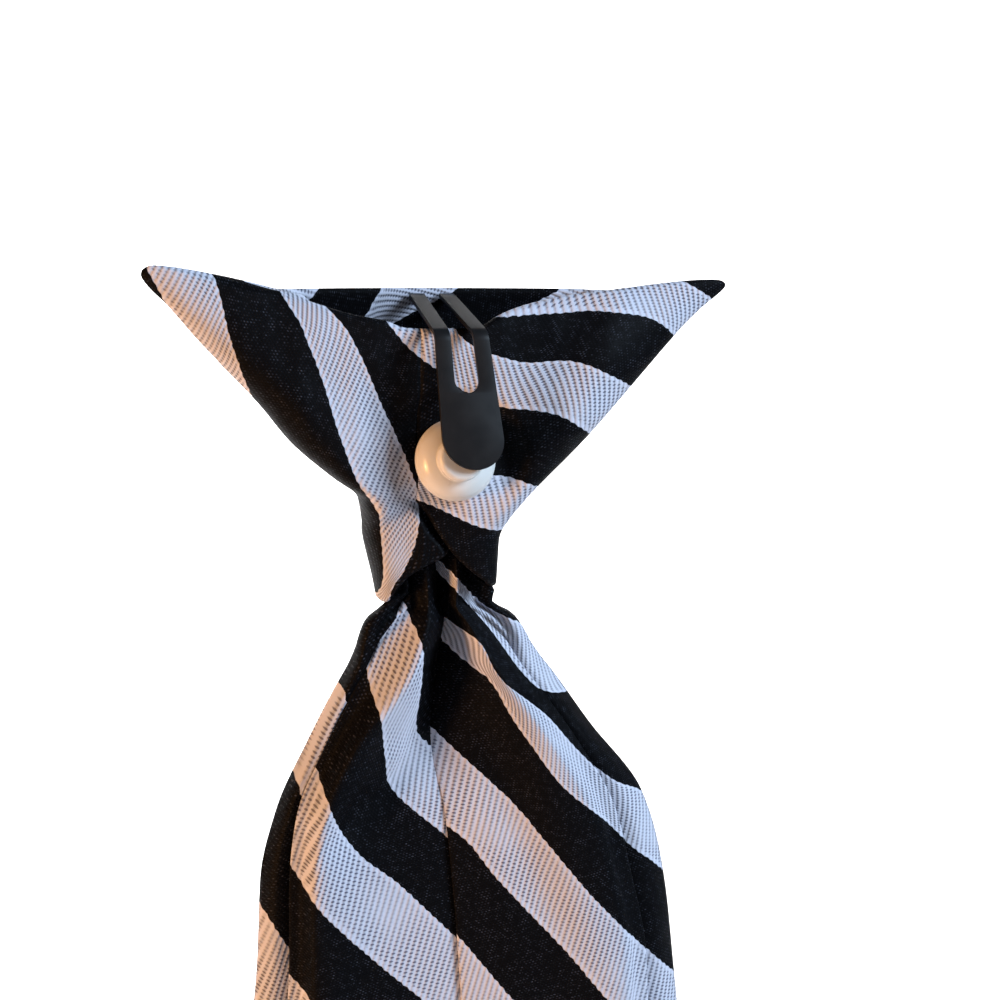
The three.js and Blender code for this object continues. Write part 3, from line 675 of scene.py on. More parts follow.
# Faint puckers: height in mm, then how fast each of two waves runs along x and z, and its phase.
puckers = [(0.14, 0.55, 0.31, 0.0, -0.2, 0.42, 1.3), (0.07, 1.3, -0.7, 0.6, 0.5, 0.9, 0.0)]
# A soft furrow from the left wing down to the knob, and a soft ridge down the right flap. All in mm.
furrows = {
    -1: {"deep": 0.35, "x": -12.5, "z": -4.0, "slope": -0.62, "width": 2.2,
         "low": (-21, 4), "high": (-2, 5)},      # where it ends, and over how much it fades there
    1: {"deep": -1.1, "x": 18.5, "z": -5.0, "slope": 0.45, "width": 4.0,
        "low": (-17, 6), "high": (8, 6)},
}


def knotDetail(side, x, z):
    crease, furrow = neckCreases[side], furrows[side]
    below = (z - creaseHeight(x, side)) / knotSize["creaseWidth"]
    deep = knotSize["neckCrease"] * math.exp(-below ** 2)
    deep *= crease["share"] * ease((side * x - crease["start"]) / crease["run"])
    for height, alongX, alongZ, phase, acrossX, acrossZ, shift in puckers:
        first = math.sin(alongX * x + alongZ * z + phase)
        deep += height * first * math.sin(acrossX * x + acrossZ * z + shift)
    off = (x - furrow["x"] - furrow["slope"] * (z - furrow["z"])) / furrow["width"]
    (low, lowRun), (high, highRun) = furrow["low"], furrow["high"]
    ends = ease((z - low) / lowRun) * ease((high - z) / highRun)
    return deep + furrow["deep"] * math.exp(-off ** 2) * ends


# rows down a column: close together at the rims, which are rounded, and even between them
rimSteps = [0.0, 0.03, 0.1, 0.2, 0.33, 0.5, 0.7]      # mm
bodyRows = 66


def rowPlaces(total):
    rim = rimSteps[-1]
    middle = [rim + (total - 2 * rim) * i / bodyRows for i in range(1, bodyRows)]
    return rimSteps + middle + [total - r for r in reversed(rimSteps)]


def knotWrap():
    columns = knotColumns()
    outer, inner, flat = [], [], []
    for part, side, share in columns:
        top, bottom = columnEnds(part, side, share)
        innerTop = max(top, knotSize["hemTop"]) if part == "flap" else knotSize["hemTop"]
        outerLine, innerLine, flatLine = [], [], []
        length = (bottom - top) * knotDrop
        innerLength = (bottom - innerTop) * knotDrop
        for d, e in zip(rowPlaces(length), rowPlaces(innerLength)):
            drop = top + d / knotDrop
            a = knotOuter(part, side, share, drop)
            b = knotInner(part, side, share, innerTop + e / knotDrop)
            near = min(1, min(d, length - d) / rimSteps[-1])
            k = knotSize["rimClose"] * (1 - math.sqrt(1 - (1 - near) ** 2))
            soft = 0.0
            if part == "flap":
                soft = knotDetail(side, a[0], a[2]) * ease((1 - share) / knotSize["detailFade"])
            a, b = (a[0], a[1] + soft, a[2]), (b[0], b[1] + soft, b[2])
            middle = tuple((p + q) / 2 for p, q in zip(a, b))
            outerLine.append(tuple(mix(p, q, k) for p, q in zip(a, middle)))
            innerLine.append(tuple(mix(p, q, k) for p, q in zip(b, middle)))
            u = -a[0] if part == "face" else a[0]
            if part == "wing":      # on round the side, as far as the cloth runs
                edge = knotOuter("flap", side, 1.0, drop)
                u = edge[0] + side * math.hypot(a[0] - edge[0], a[1] - edge[1])
            flatLine.append((u, a[2]))
        outer.append(outerLine)
        inner.append(innerLine)
        flat.append(flatLine)
    # rings run down the outside and up the inside
    count = len(columns)
    skinRows = len(outer[0])
    rings = [[outer[c][r] for c in range(count)] for r in range(skinRows)]
    rings += [[inner[c][r] for c in range(count)] for r in reversed(range(skinRows))]
    points = [p for ring in rings for p in ring]
    flatRows = np.array([[flat[c][r] for c in range(count)] for r in range(skinRows)])
    inside = np.array(rings)[skinRows:]
    maps = {name: np.stack(clothAt(name, flatRows[:, :, 0], flatRows[:, :, 1]), -1)
            for name in ("leftFlap", "rightFlap", "face")}
    maps["hemInside"] = np.stack(clothAt("hemInside", inside[:, :, 0], inside[:, :, 2]), -1)
    # over the rims the back flaps' stripes run straight on to the inner skin
    rimRows = len(rimSteps) - 1
    over = np.array([inside[-1]] + rings[:rimRows + 1])
    rimMaps = {name: np.stack(clothAt(name, over[:, :, 0], over[:, :, 2]), -1)
               for name in ("leftFlap", "rightFlap")}
    overBottom = np.linalg.norm(inside[0] - np.array(rings[skinRows - 1]), axis=1)

    def fieldOf(c):
        parts = {columns[c][0], columns[c + 1][0]}
        if parts == {"face"}:
            return "face"
        return "leftFlap" if columns[c][1] < 0 else "rightFlap"
    faces, corners = [], []
    total = len(rings)
    for r in range(total):
        s = (r + 1) % total
        for c in range(count - 1):
            n = c + 1
            faces.append(quad(r, s, c, n, count))
            m = maps[fieldOf(c)]
            if s <= rimRows and fieldOf(c) != "face":
                corners += quadCloth(rimMaps[fieldOf(c)], s, s + 1, c, n)
            elif r < skinRows - 1:
                corners += quadCloth(m, r, s, c, n)
            elif r == skinRows - 1:
                corners += [m[r, c], m[r, n], m[r, n] + (overBottom[n], 0), m[r, c] + (overBottom[c], 0)]
            else:
                far = s - skinRows if s else skinRows - 1
                corners += quadCloth(maps["hemInside"], r - skinRows, far, c, n)
    for c in (0, count - 1):      # the two sides of the back seam
        m = maps["leftFlap" if c == 0 else "rightFlap"]
        for r in range(skinRows - 1):
            other = total - 1 - r
            face = (r * count + c, (r + 1) * count + c, (other - 1) * count + c, other * count + c)
            faces.append(face if c == 0 else face[::-1])
            edge = [m[r, c], m[r + 1, c], m[r + 1, c], m[r, c]]
            corners += edge if c == 0 else edge[::-1]
    piece = addPiece("knotCloth", points, faces, corners, clothTwill)
    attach(piece, "root")
    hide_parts("knot_wrap")
    return piece


knotCloth = knotWrap()
print("knot made:", len(knotCloth.data.polygons), "faces")


# the blade
bladeSize = {
    "bladeDrop": 480.0, "pleatSpan": 62.0, "pleatDepth": 9.0, "bladeBackGap": 1.6, "throatThick": 0.9,
    "rollThick": 1.6, "flatThick": 2.6, "seamStep": 0.7, "pointRise": 44.0,
    "overhang": 0.9,      # mm that a panel's folded edge reaches over the roll behind it
    "throatLeft": (3.9, 2.1),      # mm that the hem spreads below the knot, and where it starts above
    "throatRight": (3.8, 3.8),
    "throatRun": 2.1,     # mm down, over which it spreads
    "throatDepth": 7.0,   # mm, the deepest that it lies inside the neck
    "lipUnder": 1.3,      # of the overhang, that a valley is moved in under its panel
    "lipOver": 0.5,       # of the overhang, that the panel's edge is moved over the valley
    "lipEdge": 0.9,       # mm that this edge is deeper than the panel
    "lipDepth": 0.8,      # mm at least from this edge down to the valley
    "rowStep": (0.8, 3.2),      # mm down the blade, near the knot and below
    "pointStart": 0.6,    # of the drop
    "hemRound": 0.9,      # of a fold's width
    "wrinkle": 0.10,      # mm
    "valleyWall": 0.7,    # mm of cloth that is left in front of a valley
}
bladeDrop = bladeSize["bladeDrop"]
# The first two rows lie inside the knot, as shares of its drop, its hollow's width and its hollow's
# depth. The others are shares of the blade's drop below the knot, pleatSpan and pleatDepth.
foldNames = "hemL rollL valL shoL creL dipL seam dipR creR shoR valR rollR hemR"
foldAcross = table("drop " + foldNames, [
    (0.62, 0.08, 0.14, 0.22, 0.29, 0.37, 0.45, 0.53, 0.60, 0.67, 0.74, 0.80, 0.86, 0.92),
    (1.00, 0.16, 0.20, 0.26, 0.31, 0.38, 0.47, 0.55, 0.62, 0.69, 0.75, 0.81, 0.86, 0.91),
    (0.005, -0.121, -0.108, -0.081, -0.065, -0.040, -0.008, 0.021, 0.035, 0.052, 0.074, 0.095, 0.113, 0.137),
    (0.021, -0.194, -0.181, -0.160, -0.135, -0.084, -0.040, 0.011, 0.056, 0.121, 0.161, 0.185, 0.210, 0.255),
    (0.044, -0.273, -0.258, -0.240, -0.224, -0.197, -0.077, 0.000, 0.095, 0.239, 0.284, 0.308, 0.337, 0.380),
    (0.067, -0.345, -0.326, -0.306, -0.290, -0.261, -0.177, 0.026, 0.144, 0.337, 0.382, 0.406, 0.450, 0.510),
    (0.089, -0.377, -0.348, -0.318, -0.300, -0.274, -0.147, 0.045, 0.192, 0.387, 0.429, 0.452, 0.504, 0.565),
    (0.116, -0.382, -0.347, -0.315, -0.297, -0.268, -0.121, 0.065, 0.245, 0.435, 0.474, 0.498, 0.544, 0.600),
    (0.175, -0.419, -0.377, -0.335, -0.313, -0.271, -0.097, 0.097, 0.290, 0.452, 0.500, 0.531, 0.589, 0.653),
    (0.277, -0.458, -0.400, -0.339, -0.303, -0.248, -0.065, 0.113, 0.306, 0.484, 0.539, 0.581, 0.642, 0.703),
    (0.435, -0.521, -0.452, -0.371, -0.306, -0.235, -0.065, 0.100, 0.274, 0.435, 0.516, 0.581, 0.655, 0.721),
    (0.910, -0.637, -0.548, -0.444, -0.339, -0.234, -0.081, 0.073, 0.226, 0.379, 0.484, 0.589, 0.694, 0.782),
])
foldDepth = table("drop " + foldNames, [
    (0.62, 0.74, 0.40, 0.76, 0.45, 0.18, 0.46, 0.80, 0.48, 0.18, 0.46, 0.74, 0.40, 0.70),
    (1.00, 0.74, 0.38, 0.76, 0.45, 0.17, 0.46, 0.80, 0.48, 0.18, 0.46, 0.76, 0.38, 0.70),
    (0.005, 0.78, 0.50, 0.78, 0.56, 0.24, 0.51, 0.87, 0.61, 0.28, 0.50, 0.78, 0.50, 0.82),
    (0.021, 0.89, 0.56, 0.89, 0.50, 0.08, 0.44, 1.00, 0.61, 0.08, 0.39, 0.83, 0.56, 0.94),
    (0.044, 1.00, 0.67, 0.94, 0.52, 0.10, 0.61, 0.94, 0.52, 0.06, 0.36, 0.89, 0.56, 1.00),
    (0.067, 1.00, 0.72, 0.97, 0.50, 0.13, 0.50, 0.60, 0.38, 0.05, 0.33, 0.89, 0.61, 1.00),
    (0.089, 1.00, 0.76, 0.97, 0.50, 0.15, 0.40, 0.55, 0.32, 0.06, 0.34, 0.89, 0.67, 1.00),
    (0.116, 1.00, 0.78, 0.94, 0.52, 0.19, 0.34, 0.50, 0.28, 0.09, 0.34, 0.89, 0.70, 1.00),
    (0.175, 0.96, 0.78, 0.91, 0.56, 0.27, 0.38, 0.49, 0.31, 0.17, 0.40, 0.84, 0.71, 0.96),
    (0.277, 0.84, 0.73, 0.78, 0.62, 0.42, 0.47, 0.53, 0.44, 0.38, 0.50, 0.73, 0.69, 0.84),
    (0.435, 0.73, 0.69, 0.68, 0.67, 0.63, 0.60, 0.59, 0.60, 0.62, 0.66, 0.68, 0.69, 0.73),
    (0.910, 0.70, 0.68, 0.67, 0.67, 0.66, 0.66, 0.64, 0.66, 0.66, 0.67, 0.67, 0.68, 0.70),
])
bandThickness = table("drop thick", [
    (0, bladeSize["throatThick"]), (knotDrop, bladeSize["throatThick"]),
    (2 * knotDrop, bladeSize["rollThick"]), (4 * knotDrop, bladeSize["flatThick"]),
    (bladeDrop, bladeSize["flatThick"]),
])


def foldSections():
    names = foldNames.split()
    sections = {"drop": []}
    for name in names:
        sections[name + "X"], sections[name + "Y"] = [], []
    hidden = {k: v[:2] for k, v in foldAcross.items()}
    hiddenDepth = {k: v[:2] for k, v in foldDepth.items()}
    for i in range(7):
        share = mix(*hidden["drop"], i / 6)
        left, right = hollowReach(share, -1), hollowReach(share, 1)
        back = max(backDepth(share, side, out) for out in (0, 0.2, 0.4, 0.6) for side in (-1, 1)) + wall
        front = depthAt(knotAt(share, "crown")) - wall
        sections["drop"].append(share * knotDrop)
        for name in names:
            sections[name + "X"].append(mix(left, right, read(hidden, "drop", share, name)))
            sections[name + "Y"].append(mix(back, front, read(hiddenDepth, "drop", share, name)))
    for i in range(2, len(foldAcross["drop"])):
        sections["drop"].append(mix(knotDrop, bladeDrop, foldAcross["drop"][i]))
        for name in names:
            sections[name + "X"].append(foldAcross[name][i] * bladeSize["pleatSpan"])
            depth = foldDepth[name][i] * bladeSize["pleatDepth"]
            sections[name + "Y"].append(bladeSize["bladeBackGap"] + depth)
    return sections


folds = foldSections()


# what part of the spread below the knot each fold near the hems takes, to the left below zero
throatShares = {"hemL": -1, "rollL": -0.75, "valL": -0.4, "hemR": 1, "rollR": 0.75, "valR": 0.4}


# the back of the band at one drop: the folds, with lips where one panel reaches over the next
def backFolds(drop, half):
    at = {n: (read(folds, "drop", drop, n + "X"), read(folds, "drop", drop, n + "Y") - half)
          for n in foldNames.split()}
    below = drop - knotDrop
    opening = ease((below - 1) / 10)      # the lips open just below the knot and shrink further down
    over = bladeSize["overhang"] * opening * (1 - 0.7 * ease((drop - 150) / 200))
    lap = bladeSize["seamStep"] * ease(drop / knotDrop - 1.25)
    for name, share in throatShares.items():
        spread, lead = bladeSize["throatLeft" if share < 0 else "throatRight"]
        wide = ease((below + lead) / bladeSize["throatRun"]) * (1 - ease(below / 10))
        inside = ease((1 - below) / 2)
        x, depth = at[name]
        depth = mix(depth, min(depth, bladeSize["throatDepth"]), inside * wide)
        at[name] = (x + share * spread * wide, depth)
    line = [at["hemL"], at["rollL"]]
    for val, sho, roll, side in (("valL", "shoL", "rollL", 1), ("valR", "shoR", "rollR", -1)):
        x, depth = at[val]
        edge = at[sho][1] + bladeSize["lipEdge"]
        inside = max(at[roll][1] + 0.1, edge + bladeSize["lipDepth"])
        at[val] = (x + side * bladeSize["lipUnder"] * over, mix(depth, inside, opening))
        at["lip" + val[-1]] = (x - side * bladeSize["lipOver"] * over,
                               mix(mix(depth, at[sho][1], 0.45), edge, opening))
    line += [at[n] for n in ("valL", "lipL", "shoL", "creL", "dipL")]
    x, depth = at["seam"]
    line += [(x + 1.2 * lap, depth), (x - 0.2 * lap, depth - lap)]
    tail = ease((drop - 100) / 200)
    line += [(at["dipR"][0], at["dipR"][1] - lap * mix(0.8, 1, tail)),
             (at["creR"][0], at["creR"][1] - lap * tail)]
    line += [at[n] for n in ("shoR", "lipR", "valR", "rollR", "hemR")]
    return line


# the front of the band: the same folds without lips
def frontFolds(drop, half):
    return [(read(folds, "drop", drop, n + "X"), read(folds, "drop", drop, n + "Y") + half)
            for n in foldNames.split()]


# a smooth curve through the fold points, with an even number of steps in each stretch
def bandCurve(line, steps):
    points = [np.array(p) for p in line]
    n = len(points)
    curve = []
    for i in range(n - 1):
        p0, p1, p2, p3 = points[max(0, i - 1)], points[i], points[i + 1], points[min(n - 1, i + 2)]
        d = [max(1e-6, np.linalg.norm(b - a)) ** 0.5 for a, b in ((p0, p1), (p1, p2), (p2, p3))]
        m1 = (p2 - p0) / (d[0] + d[1]) if i > 0 else (p2 - p1) / d[1]
        m2 = (p3 - p1) / (d[1] + d[2]) if i < n - 2 else (p2 - p1) / d[1]
        m1, m2 = m1 * d[1], m2 * d[1]
        for s in range(steps):
            t = s / steps
            curve.append((2 * t ** 3 - 3 * t ** 2 + 1) * p1 + (t ** 3 - 2 * t ** 2 + t) * m1
                         + (3 * t ** 2 - 2 * t ** 3) * p2 + (t ** 3 - t ** 2) * m2)
    curve.append(points[-1])
    return np.array(curve)


# spreads the points of a curve evenly over its width
def evenly(curve, count):
    run = np.concatenate([[0], np.cumsum(np.linalg.norm(np.diff(curve, axis=0), axis=1))])
    at = np.linspace(0, run[-1], count)
    return np.stack([np.interp(at, run, curve[:, 0]), np.interp(at, run, curve[:, 1])], 1)


# soft creases across the panels: from, to, half width and height, all in mm; a valley is below zero
creases = [
    ((-1.4, -56.0), (-6.4, -64.0), 1.3, -0.55),
    ((-6.0, -63.0), (-14.5, -70.0), 1.5, -0.55),
    ((-7.5, -60.0), (-17.0, -65.5), 1.6, 0.45),
    ((-2.6, -46.0), (-6.2, -61.0), 1.4, 0.45),
    ((-12.0, -84.0), (-17.5, -98.0), 1.8, 0.30),
    ((8.0, -60.0), (16.0, -82.0), 2.6, -0.45),
    ((15.0, -64.0), (25.0, -92.0), 2.8, 0.45),
]


def creaseAt(x, z):
    total = np.zeros_like(x)
    for start, end, width, height in creases:
        (ax, az), (bx, bz) = start, end
        length = math.hypot(bx - ax, bz - az)
        tx, tz = (bx - ax) / length, (bz - az) / length
        run = (x - ax) * tx + (z - az) * tz
        side = (x - ax) * tz - (z - az) * tx
        past = np.maximum(0, np.maximum(-run, run - length))      # beyond its ends, where it tapers
        total -= height * np.exp(-(side / width) ** 2 - (past / (2.2 * width)) ** 2)
    return total


def bladeBand():
    steps = 7
    drops, drop = [], folds["drop"][0]
    while drop < bladeDrop - 0.6:
        drops.append(drop)
        drop += mix(*bladeSize["rowStep"], ease((drop - 100) / 120))
    drops.append(bladeDrop)
    pointStart = bladeDrop * bladeSize["pointStart"]
    foldLeft, seamAt, foldRight = 2 * steps, 7 * steps, 13 * steps
    count = 15 * steps + 1
    backRows, frontRows, frontFlat = [], [], []
    edge = np.minimum(np.arange(count), np.arange(count)[::-1]) / steps
    hem = np.sqrt(np.clip(1 - (1 - np.clip(edge / bladeSize["hemRound"], 0, 1)) ** 2, 0, 1))
    for drop in drops:
        half = read(bandThickness, "drop", drop, "thick") / 2
        backCurve = bandCurve(backFolds(drop, half), steps)
        frontCurve = evenly(bandCurve(frontFolds(drop, half), steps), count)
        # the back skin's valleys end inside the front skin
        inFront = np.interp(backCurve[:, 0], frontCurve[:, 0], frontCurve[:, 1])
        backCurve[:, 1] = np.minimum(backCurve[:, 1], inFront - bladeSize["valleyWall"])
        # the two skins meet at the hems
        for skin, other in ((backCurve, frontCurve), (frontCurve, backCurve)):
            for end in (0, -1):
                skin[end] = other[end] = (skin[end] + other[end]) / 2
        middle = (backCurve[0, 0] + backCurve[-1, 0]) / 2
        wide = (backCurve[-1, 0] - backCurve[0, 0]) / 2
        rise = max(0.0, (drop - pointStart) / (bladeDrop - pointStart)) * bladeSize["pointRise"]
        rows = []
        for skin in (backCurve, frontCurve):
            z = -drop + rise * np.minimum(1, np.abs(skin[:, 0] - middle) / wide)
            soft = np.sin(skin[:, 0] * 0.5 + drop * 0.09) * np.sin(drop * 0.21 - skin[:, 0] * 0.17)
            rows.append(np.stack([skin[:, 0], skin[:, 1] + bladeSize["wrinkle"] * soft, z], 1))
        back, front = rows
        back[:, 1] += creaseAt(back[:, 0], back[:, 2]) * ease((drop - 42) / 8)      # not in the neck
        between = (back + front) / 2
        back = between + (back - between) * np.maximum(hem, 0.05)[:, None]
        front = between + (front - between) * np.maximum(hem, 0.05)[:, None]
        backRows.append(back)
        frontRows.append(front)
        frontFlat.append(np.stack([2 * back[0, 0] - front[:, 0], front[:, 2]], 1))
    back, front = np.array(backRows), np.array(frontRows)
    flatBack, flatFront = back[:, :, [0, 2]], np.array(frontFlat)
    rows = len(drops)
    ring = np.concatenate([back, front[:, ::-1]], axis=1)
    width = ring.shape[1]
    fields = {n: np.stack(clothAt(n, flatBack[:, :, 0], flatBack[:, :, 1]), -1)
              for n in ("rollLeft", "panelLeft", "panelRight", "rollRight")}
    fieldFront = np.stack(clothAt("rollLeft", flatFront[:, :, 0], flatFront[:, :, 1]), -1)
    faces, corners = [], []
    for r in range(rows - 1):
        for c in range(width):
            n = (c + 1) % width
            faces.append(quad(r, r + 1, c, n, width))
            if c < count - 1:
                name = ("rollLeft" if c < foldLeft else "panelLeft" if c < seamAt
                        else "panelRight" if c < foldRight else "rollRight")
                corners += quadCloth(fields[name], r, r + 1, c, n)
            elif c == count - 1:      # the right hem
                corners += quadCloth(fields["rollRight"], r, r + 1, c, c)
            elif n == 0:      # the left hem
                corners += quadCloth(fields["rollLeft"], r, r + 1, 0, 0)
            else:
                corners += quadCloth(fieldFront, r, r + 1, width - 1 - c, width - 1 - n)
    for r in (0, rows - 1):       # closed ends
        for c in range(count - 1):
            far = width - 1 - c
            face = (r * width + c, r * width + far, r * width + far - 1, r * width + c + 1)
            faces.append(face if r == 0 else face[::-1])
            corners += [fieldFront[r, c]] * 4
    piece = addPiece("bladeCloth", ring.reshape(-1, 3).tolist(), faces, corners, clothTwill)
    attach(piece, "root")
    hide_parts("blade")
    return piece


bladeCloth = bladeBand()
print("blade made:", len(bladeCloth.data.polygons), "faces")


# clip and knob
clipSize = {
    "steelThick": 0.6, "legWidth": 2.05, "legSpreadRoot": 4.1, "legSpreadBend": 5.1, "legRise": 3.3,
    "tabWidth": 8.2, "tabLength": 17.6, "slotLength": 7.6, "clipTurn": 4.6, "bendRadius": 0.9,
    "edgeRound": 0.12,
    "slotFlare": 0.1,     # mm
    "lacquer": ((0.009, 0.009, 0.010, 1), (0.014, 0.0135, 0.014, 1)),
    "rough": 0.26, "roughSpread": 0.14, "gloss": 0.18,
}
knobBase = knotSize["knobSeatDish"] - gap
knobTop = knobBase - knob["height"]


def blackSteelMaterial():
    g = Graph("blackSteel")
    grain = g.noise(2600.0, 2.0)
    slow = g.noise(220.0, 3.0)
    return g.surface(Base_Color=g.blend(g.step(slow, 0.3, 0.7), *clipSize["lacquer"]),
                     Roughness=g.plus(clipSize["rough"], g.times(slow, clipSize["roughSpread"])),
                     Specular_IOR_Level=clipSize["gloss"], Normal=g.relief(grain, 0.12, 0.03))


def milkyPlasticMaterial():
    g = Graph("milkyPlastic")
    slow = g.noise(260.0, 3.0)
    return g.surface(Base_Color=g.blend(slow, *knob["milk"]),
                     Roughness=g.plus(knob["rough"], g.times(slow, knob["roughSpread"])),
                     Subsurface_Weight=knob["glow"], Subsurface_Radius=knob["glowReach"],
                     Subsurface_Scale=0.5, Specular_IOR_Level=knob["gloss"],
                     Normal=g.relief(slow, 0.15, 0.1))


blackSteel = blackSteelMaterial()
milkyPlastic = milkyPlasticMaterial()
legRise = clipSize["legRise"]
rootDepth = depthAt(knotAt(-legRise / knotDrop, "crown")) - wall - gap
legLength = math.hypot(rootDepth, legRise)
tabSlope = (gap - knobTop) / (knob["drop"] - knob["bossRadius"] + knob["round"] / 2)


def stripPath(along):
    leg = Vector((0, rootDepth, legRise)).normalized()
    tab = Vector((0, -tabSlope, -1)).normalized()
    bend = clipSize["bendRadius"]
    t = min(1.0, max(-1.0, along / bend))
    if abs(along) > bend:
        point = (leg if along < 0 else tab) * abs(along)
    else:
        point = leg * (bend * (1 - t) * (1 - t) / 4) + tab * (bend * (1 + t) * (1 + t) / 4)
    run = (leg * (-(1 - t) / 2) + tab * ((1 + t) / 2)).normalized()
    normal = Vector((0, run.z, -run.y))
    return point, normal if normal.z >= 0 else -normal


def stripStations():
    s = clipSize
    slotRound = (s["legSpreadBend"] - s["legWidth"]) / 2 + s["slotFlare"]
    slotStraight = s["slotLength"] - slotRound
    endRound = s["tabWidth"] / 2
    straightEnd = s["tabLength"] - endRound
    stations = []

    def outerAt(along):
        return mix((s["legSpreadBend"] + s["legWidth"]) / 2, endRound, min(1, along / straightEnd))

    def innerAt(along):
        return mix(slotRound - s["slotFlare"], slotRound, along / slotStraight)
    legs = [mix(-legLength, -s["bendRadius"], i / 8) for i in range(9)]
    legs += [mix(-s["bendRadius"], 0, i / 8) for i in range(1, 8)]
    for along in legs:
        half = mix(s["legSpreadBend"], s["legSpreadRoot"], -along / legLength) / 2
        stations.append((along, half + s["legWidth"] / 2, half - s["legWidth"] / 2))
    slot = [s["bendRadius"] * i / 8 for i in range(9)]
    slot += [mix(s["bendRadius"], slotStraight, i / 6) for i in range(1, 7)]
    for along in slot:
        stations.append((along, outerAt(along), innerAt(along)))
    for i in range(1, 15):
        angle = i / 14 * math.pi / 2
        along = slotStraight + slotRound * math.sin(angle)
        stations.append((along, outerAt(along), 0 if i == 14 else slotRound * math.cos(angle)))
    stations.append((straightEnd, endRound, 0))
    for i in range(1, 25):
        angle = i / 24.6 * math.pi / 2      # ends just short of a point
        stations.append((straightEnd + endRound * math.sin(angle), endRound * math.cos(angle), 0))
    return stations


def clipStrip():
    turn = math.radians(clipSize["clipTurn"])
    points, faces, rows = [], [], []
    for along, outer, inner in stripStations():
        point, normal = stripPath(along)
        lean = math.sin(turn) * along
        row = []
        for i, across in enumerate((-outer, -inner, inner, outer)):
            if i == 2 and inner == 0:
                row += row[2:4]
                continue
            for lift in (0, clipSize["steelThick"]):
                at = point + normal * lift
                points.append((at.x + across + lean, at.y, at.z))
                row.append(len(points) - 1)
        rows.append(row)
    for a, b in zip(rows, rows[1:]):
        for leg in (0, 4):
            faces.append((a[leg], a[leg + 2], b[leg + 2], b[leg]))
            faces.append((a[leg + 1], b[leg + 1], b[leg + 3], a[leg + 3]))
        faces.append((a[0], b[0], b[1], a[1]))
        faces.append((a[6], a[7], b[7], b[6]))
        if a[2] != a[4]:
            faces.append((a[2], a[3], b[3], b[2]))
            faces.append((a[4], b[4], b[5], a[5]))
    root, end = rows[0], rows[-1]
    faces += [(root[0], root[1], root[3], root[2]), (root[4], root[5], root[7], root[6])]
    faces += [(end[0], end[2], end[3], end[1]), (end[4], end[6], end[7], end[5])]
    faces = [tuple(dict.fromkeys(f)) for f in faces]
    faces = [f for f in faces if len(f) > 2]
    piece = addPiece("clipStrip", points, faces, None, blackSteel)
    bevel = piece.modifiers.new("edges", "BEVEL")
    bevel.width = clipSize["edgeRound"] * mm
    bevel.segments = 3
    bevel.limit_method = "ANGLE"
    bevel.angle_limit = math.radians(50)
    applyModifiers(piece)
    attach(piece, "root")
    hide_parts("collar_clip_strip")
    return piece


def applyModifiers(piece):
    graph = bpy.context.evaluated_depsgraph_get()
    mesh = bpy.data.meshes.new_from_object(piece.evaluated_get(graph))
    piece.modifiers.clear()
    piece.data = mesh


def clipKnob():
    r = knob["round"]

    def corner(radius, height, size, steps=8):
        return [(radius - size + size * math.cos(a), height - size + size * math.sin(a))
                for a in [i / steps * math.pi / 2 for i in range(steps + 1)]]
    flange, thick = knob["flangeRadius"], knob["flangeThick"]
    profile = [(0, 0), (flange - r / 2, 0), (flange - 0.1, 0.1), (flange, r / 2)]
    profile += corner(flange, thick, r)
    # a dome from the flange to the groove under the boss, a little hollower than an ellipse
    neck, top = knob["bossRadius"] - knob["slim"], knob["height"] + knob["proud"]
    wide, low, dome = flange - r * 0.25, thick - r * 0.5, thick + knob["dome"]
    profile = [p for p in profile if p[1] < low]
    profile += [(neck + (wide - neck) * math.cos(a) ** 1.3, low + (dome - low) * math.sin(a) ** 1.1)
                for a in [i / 16 * math.pi / 2 for i in range(17)]]
    profile += [(neck - 0.10, dome + 0.1), (neck - 0.10, dome + 0.22)]
    profile += corner(neck, top, r)
    profile += [(neck * 0.55, top - 0.02), (0, top)]
    around = 72
    points, faces = [], []
    lean = math.atan(knob["tip"])

    def place(across, up, height):
        return (knob["side"] + across - knob["sideLean"] * height,
                knobBase - height * math.cos(lean) + up * math.sin(lean),
                -knob["drop"] + height * math.sin(lean) + up * math.cos(lean))
    for radius, height in profile[1:-1]:
        for i in range(around):
            angle = 2 * math.pi * i / around
            points.append(place(radius * math.cos(angle), radius * math.sin(angle), height))
    for ring in range(len(profile) - 3):
        faces += [quad(ring, ring + 1, i, (i + 1) % around, around) for i in range(around)]
    for ring, height in ((0, 0), (len(profile) - 3, profile[-1][1])):
        points.append(place(0, 0, height))
        for i in range(around):
            n = (i + 1) % around
            face = (ring * around + i, len(points) - 1, ring * around + n)
            faces.append(face if ring == 0 else face[::-1])
    piece = addPiece("clipKnob", points, faces, None, milkyPlastic)
    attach(piece, "root")
    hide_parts("clip_knob")
    return piece


clipStrip()
clipKnob()
print("clip and knob made")


# floor and light
studio = {
    "floor": -0.56, "near": -2.5, "wall": 1.6, "top": 2.4, "halfWidth": 2.6,      # m
    "bend": 0.6,          # m, radius between the floor and the wall
    "paper": ((0.90, 0.90, 0.90, 1), (0.93, 0.93, 0.93, 1)),
    "room": (0.93, 0.95, 1.0, 1),
    "roomLight": 0.05,
}
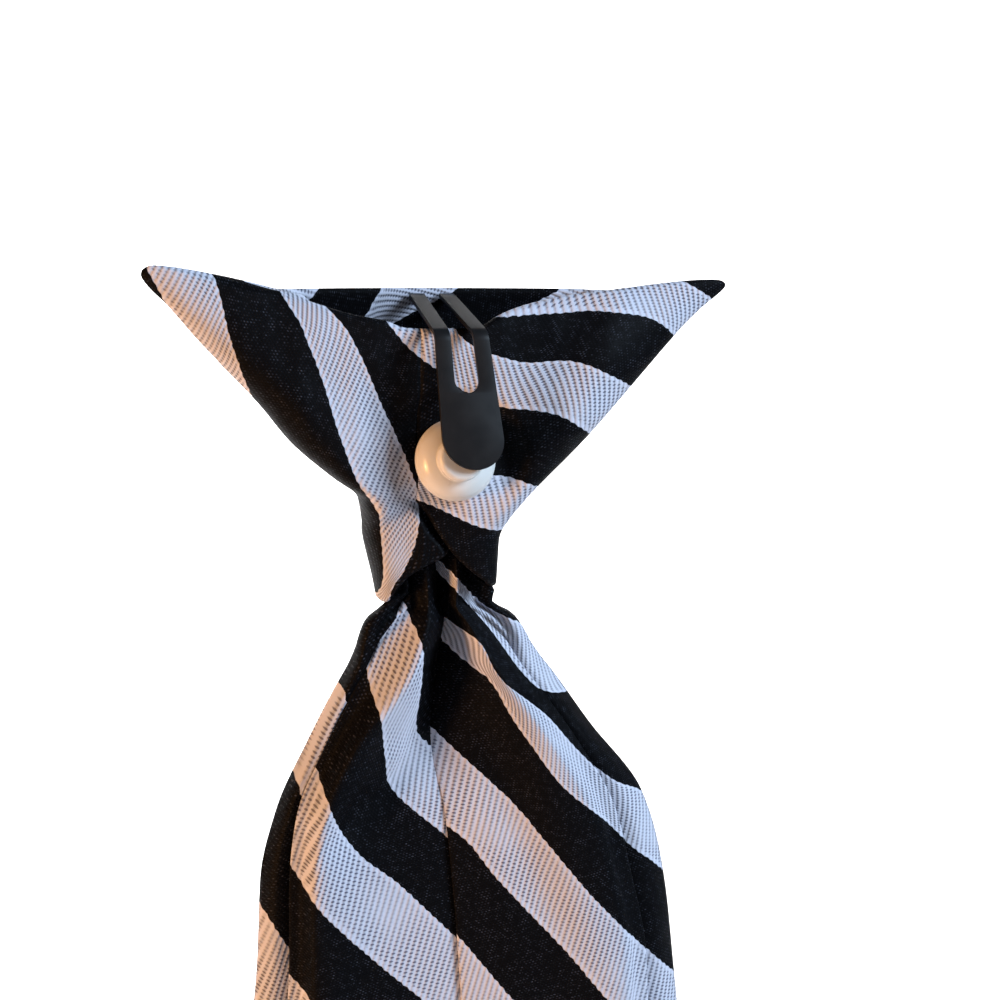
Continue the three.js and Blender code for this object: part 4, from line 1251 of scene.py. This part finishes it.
# name, place and aim in m, side in m, watts, colour, and spread in degrees
lights = [
    ("warmWindow", (-0.72, -0.22, -0.12), (0, 0, -0.05), 0.22, 6.8, (1.0, 0.49, 0.18), 180),
    ("coolSky", (0.62, -0.42, 0.42), (0, 0, -0.05), 0.36, 12.0, (0.64, 0.81, 1.0), 180),
    ("frontFill", (-0.1, -1.0, 0.3), (0, 0, -0.05), 0.8, 0.6, (0.93, 0.95, 1.0), 180),
    ("wallWash", (0.0, 0.75, 1.1), (0, 1.6, 0.1), 0.8, 34.0, (1, 1, 1), 90),
]


def addStage():
    bend, half = studio["bend"], studio["halfWidth"]
    profile = [(studio["near"], studio["floor"])]
    for i in range(13):
        angle = i / 12 * math.pi / 2
        profile.append((studio["wall"] - bend + bend * math.sin(angle),
                        studio["floor"] + bend - bend * math.cos(angle)))
    profile.append((studio["wall"], studio["top"]))
    mesh = bpy.data.meshes.new("studioSweep")
    mesh.from_pydata([(x, y, z) for y, z in profile for x in (-half, half)], [],
                     [(2 * i, 2 * i + 1, 2 * i + 3, 2 * i + 2) for i in range(len(profile) - 1)])
    mesh.polygons.foreach_set("use_smooth", [True] * len(mesh.polygons))
    g = Graph("palePaper")
    material = g.surface(Base_Color=g.blend(g.noise(3.0, 2.0), *studio["paper"]), Roughness=0.9)
    mesh.materials.append(material)
    sweep = bpy.data.objects.new("studioSweep", mesh)
    bpy.context.collection.objects.link(sweep)


def addLight(name, place, aim, size, power, colour, spread):
    data = bpy.data.lights.new(name, "AREA")
    data.shape = "SQUARE"
    data.size = size
    data.energy = power
    data.color = colour
    data.spread = math.radians(spread)
    light = bpy.data.objects.new(name, data)
    light.location = place
    light.rotation_euler = (Vector(aim) - Vector(place)).to_track_quat("-Z", "Y").to_euler()
    bpy.context.collection.objects.link(light)


addStage()
for light in lights:
    addLight(*light)
world = bpy.data.worlds.new("paleRoom")
world.use_nodes = True
world.node_tree.nodes["Background"].inputs[0].default_value = studio["room"]
world.node_tree.nodes["Background"].inputs[1].default_value = studio["roomLight"]
bpy.context.scene.world = world
bpy.context.scene.view_settings.view_transform = "Standard"
print("studio ready")
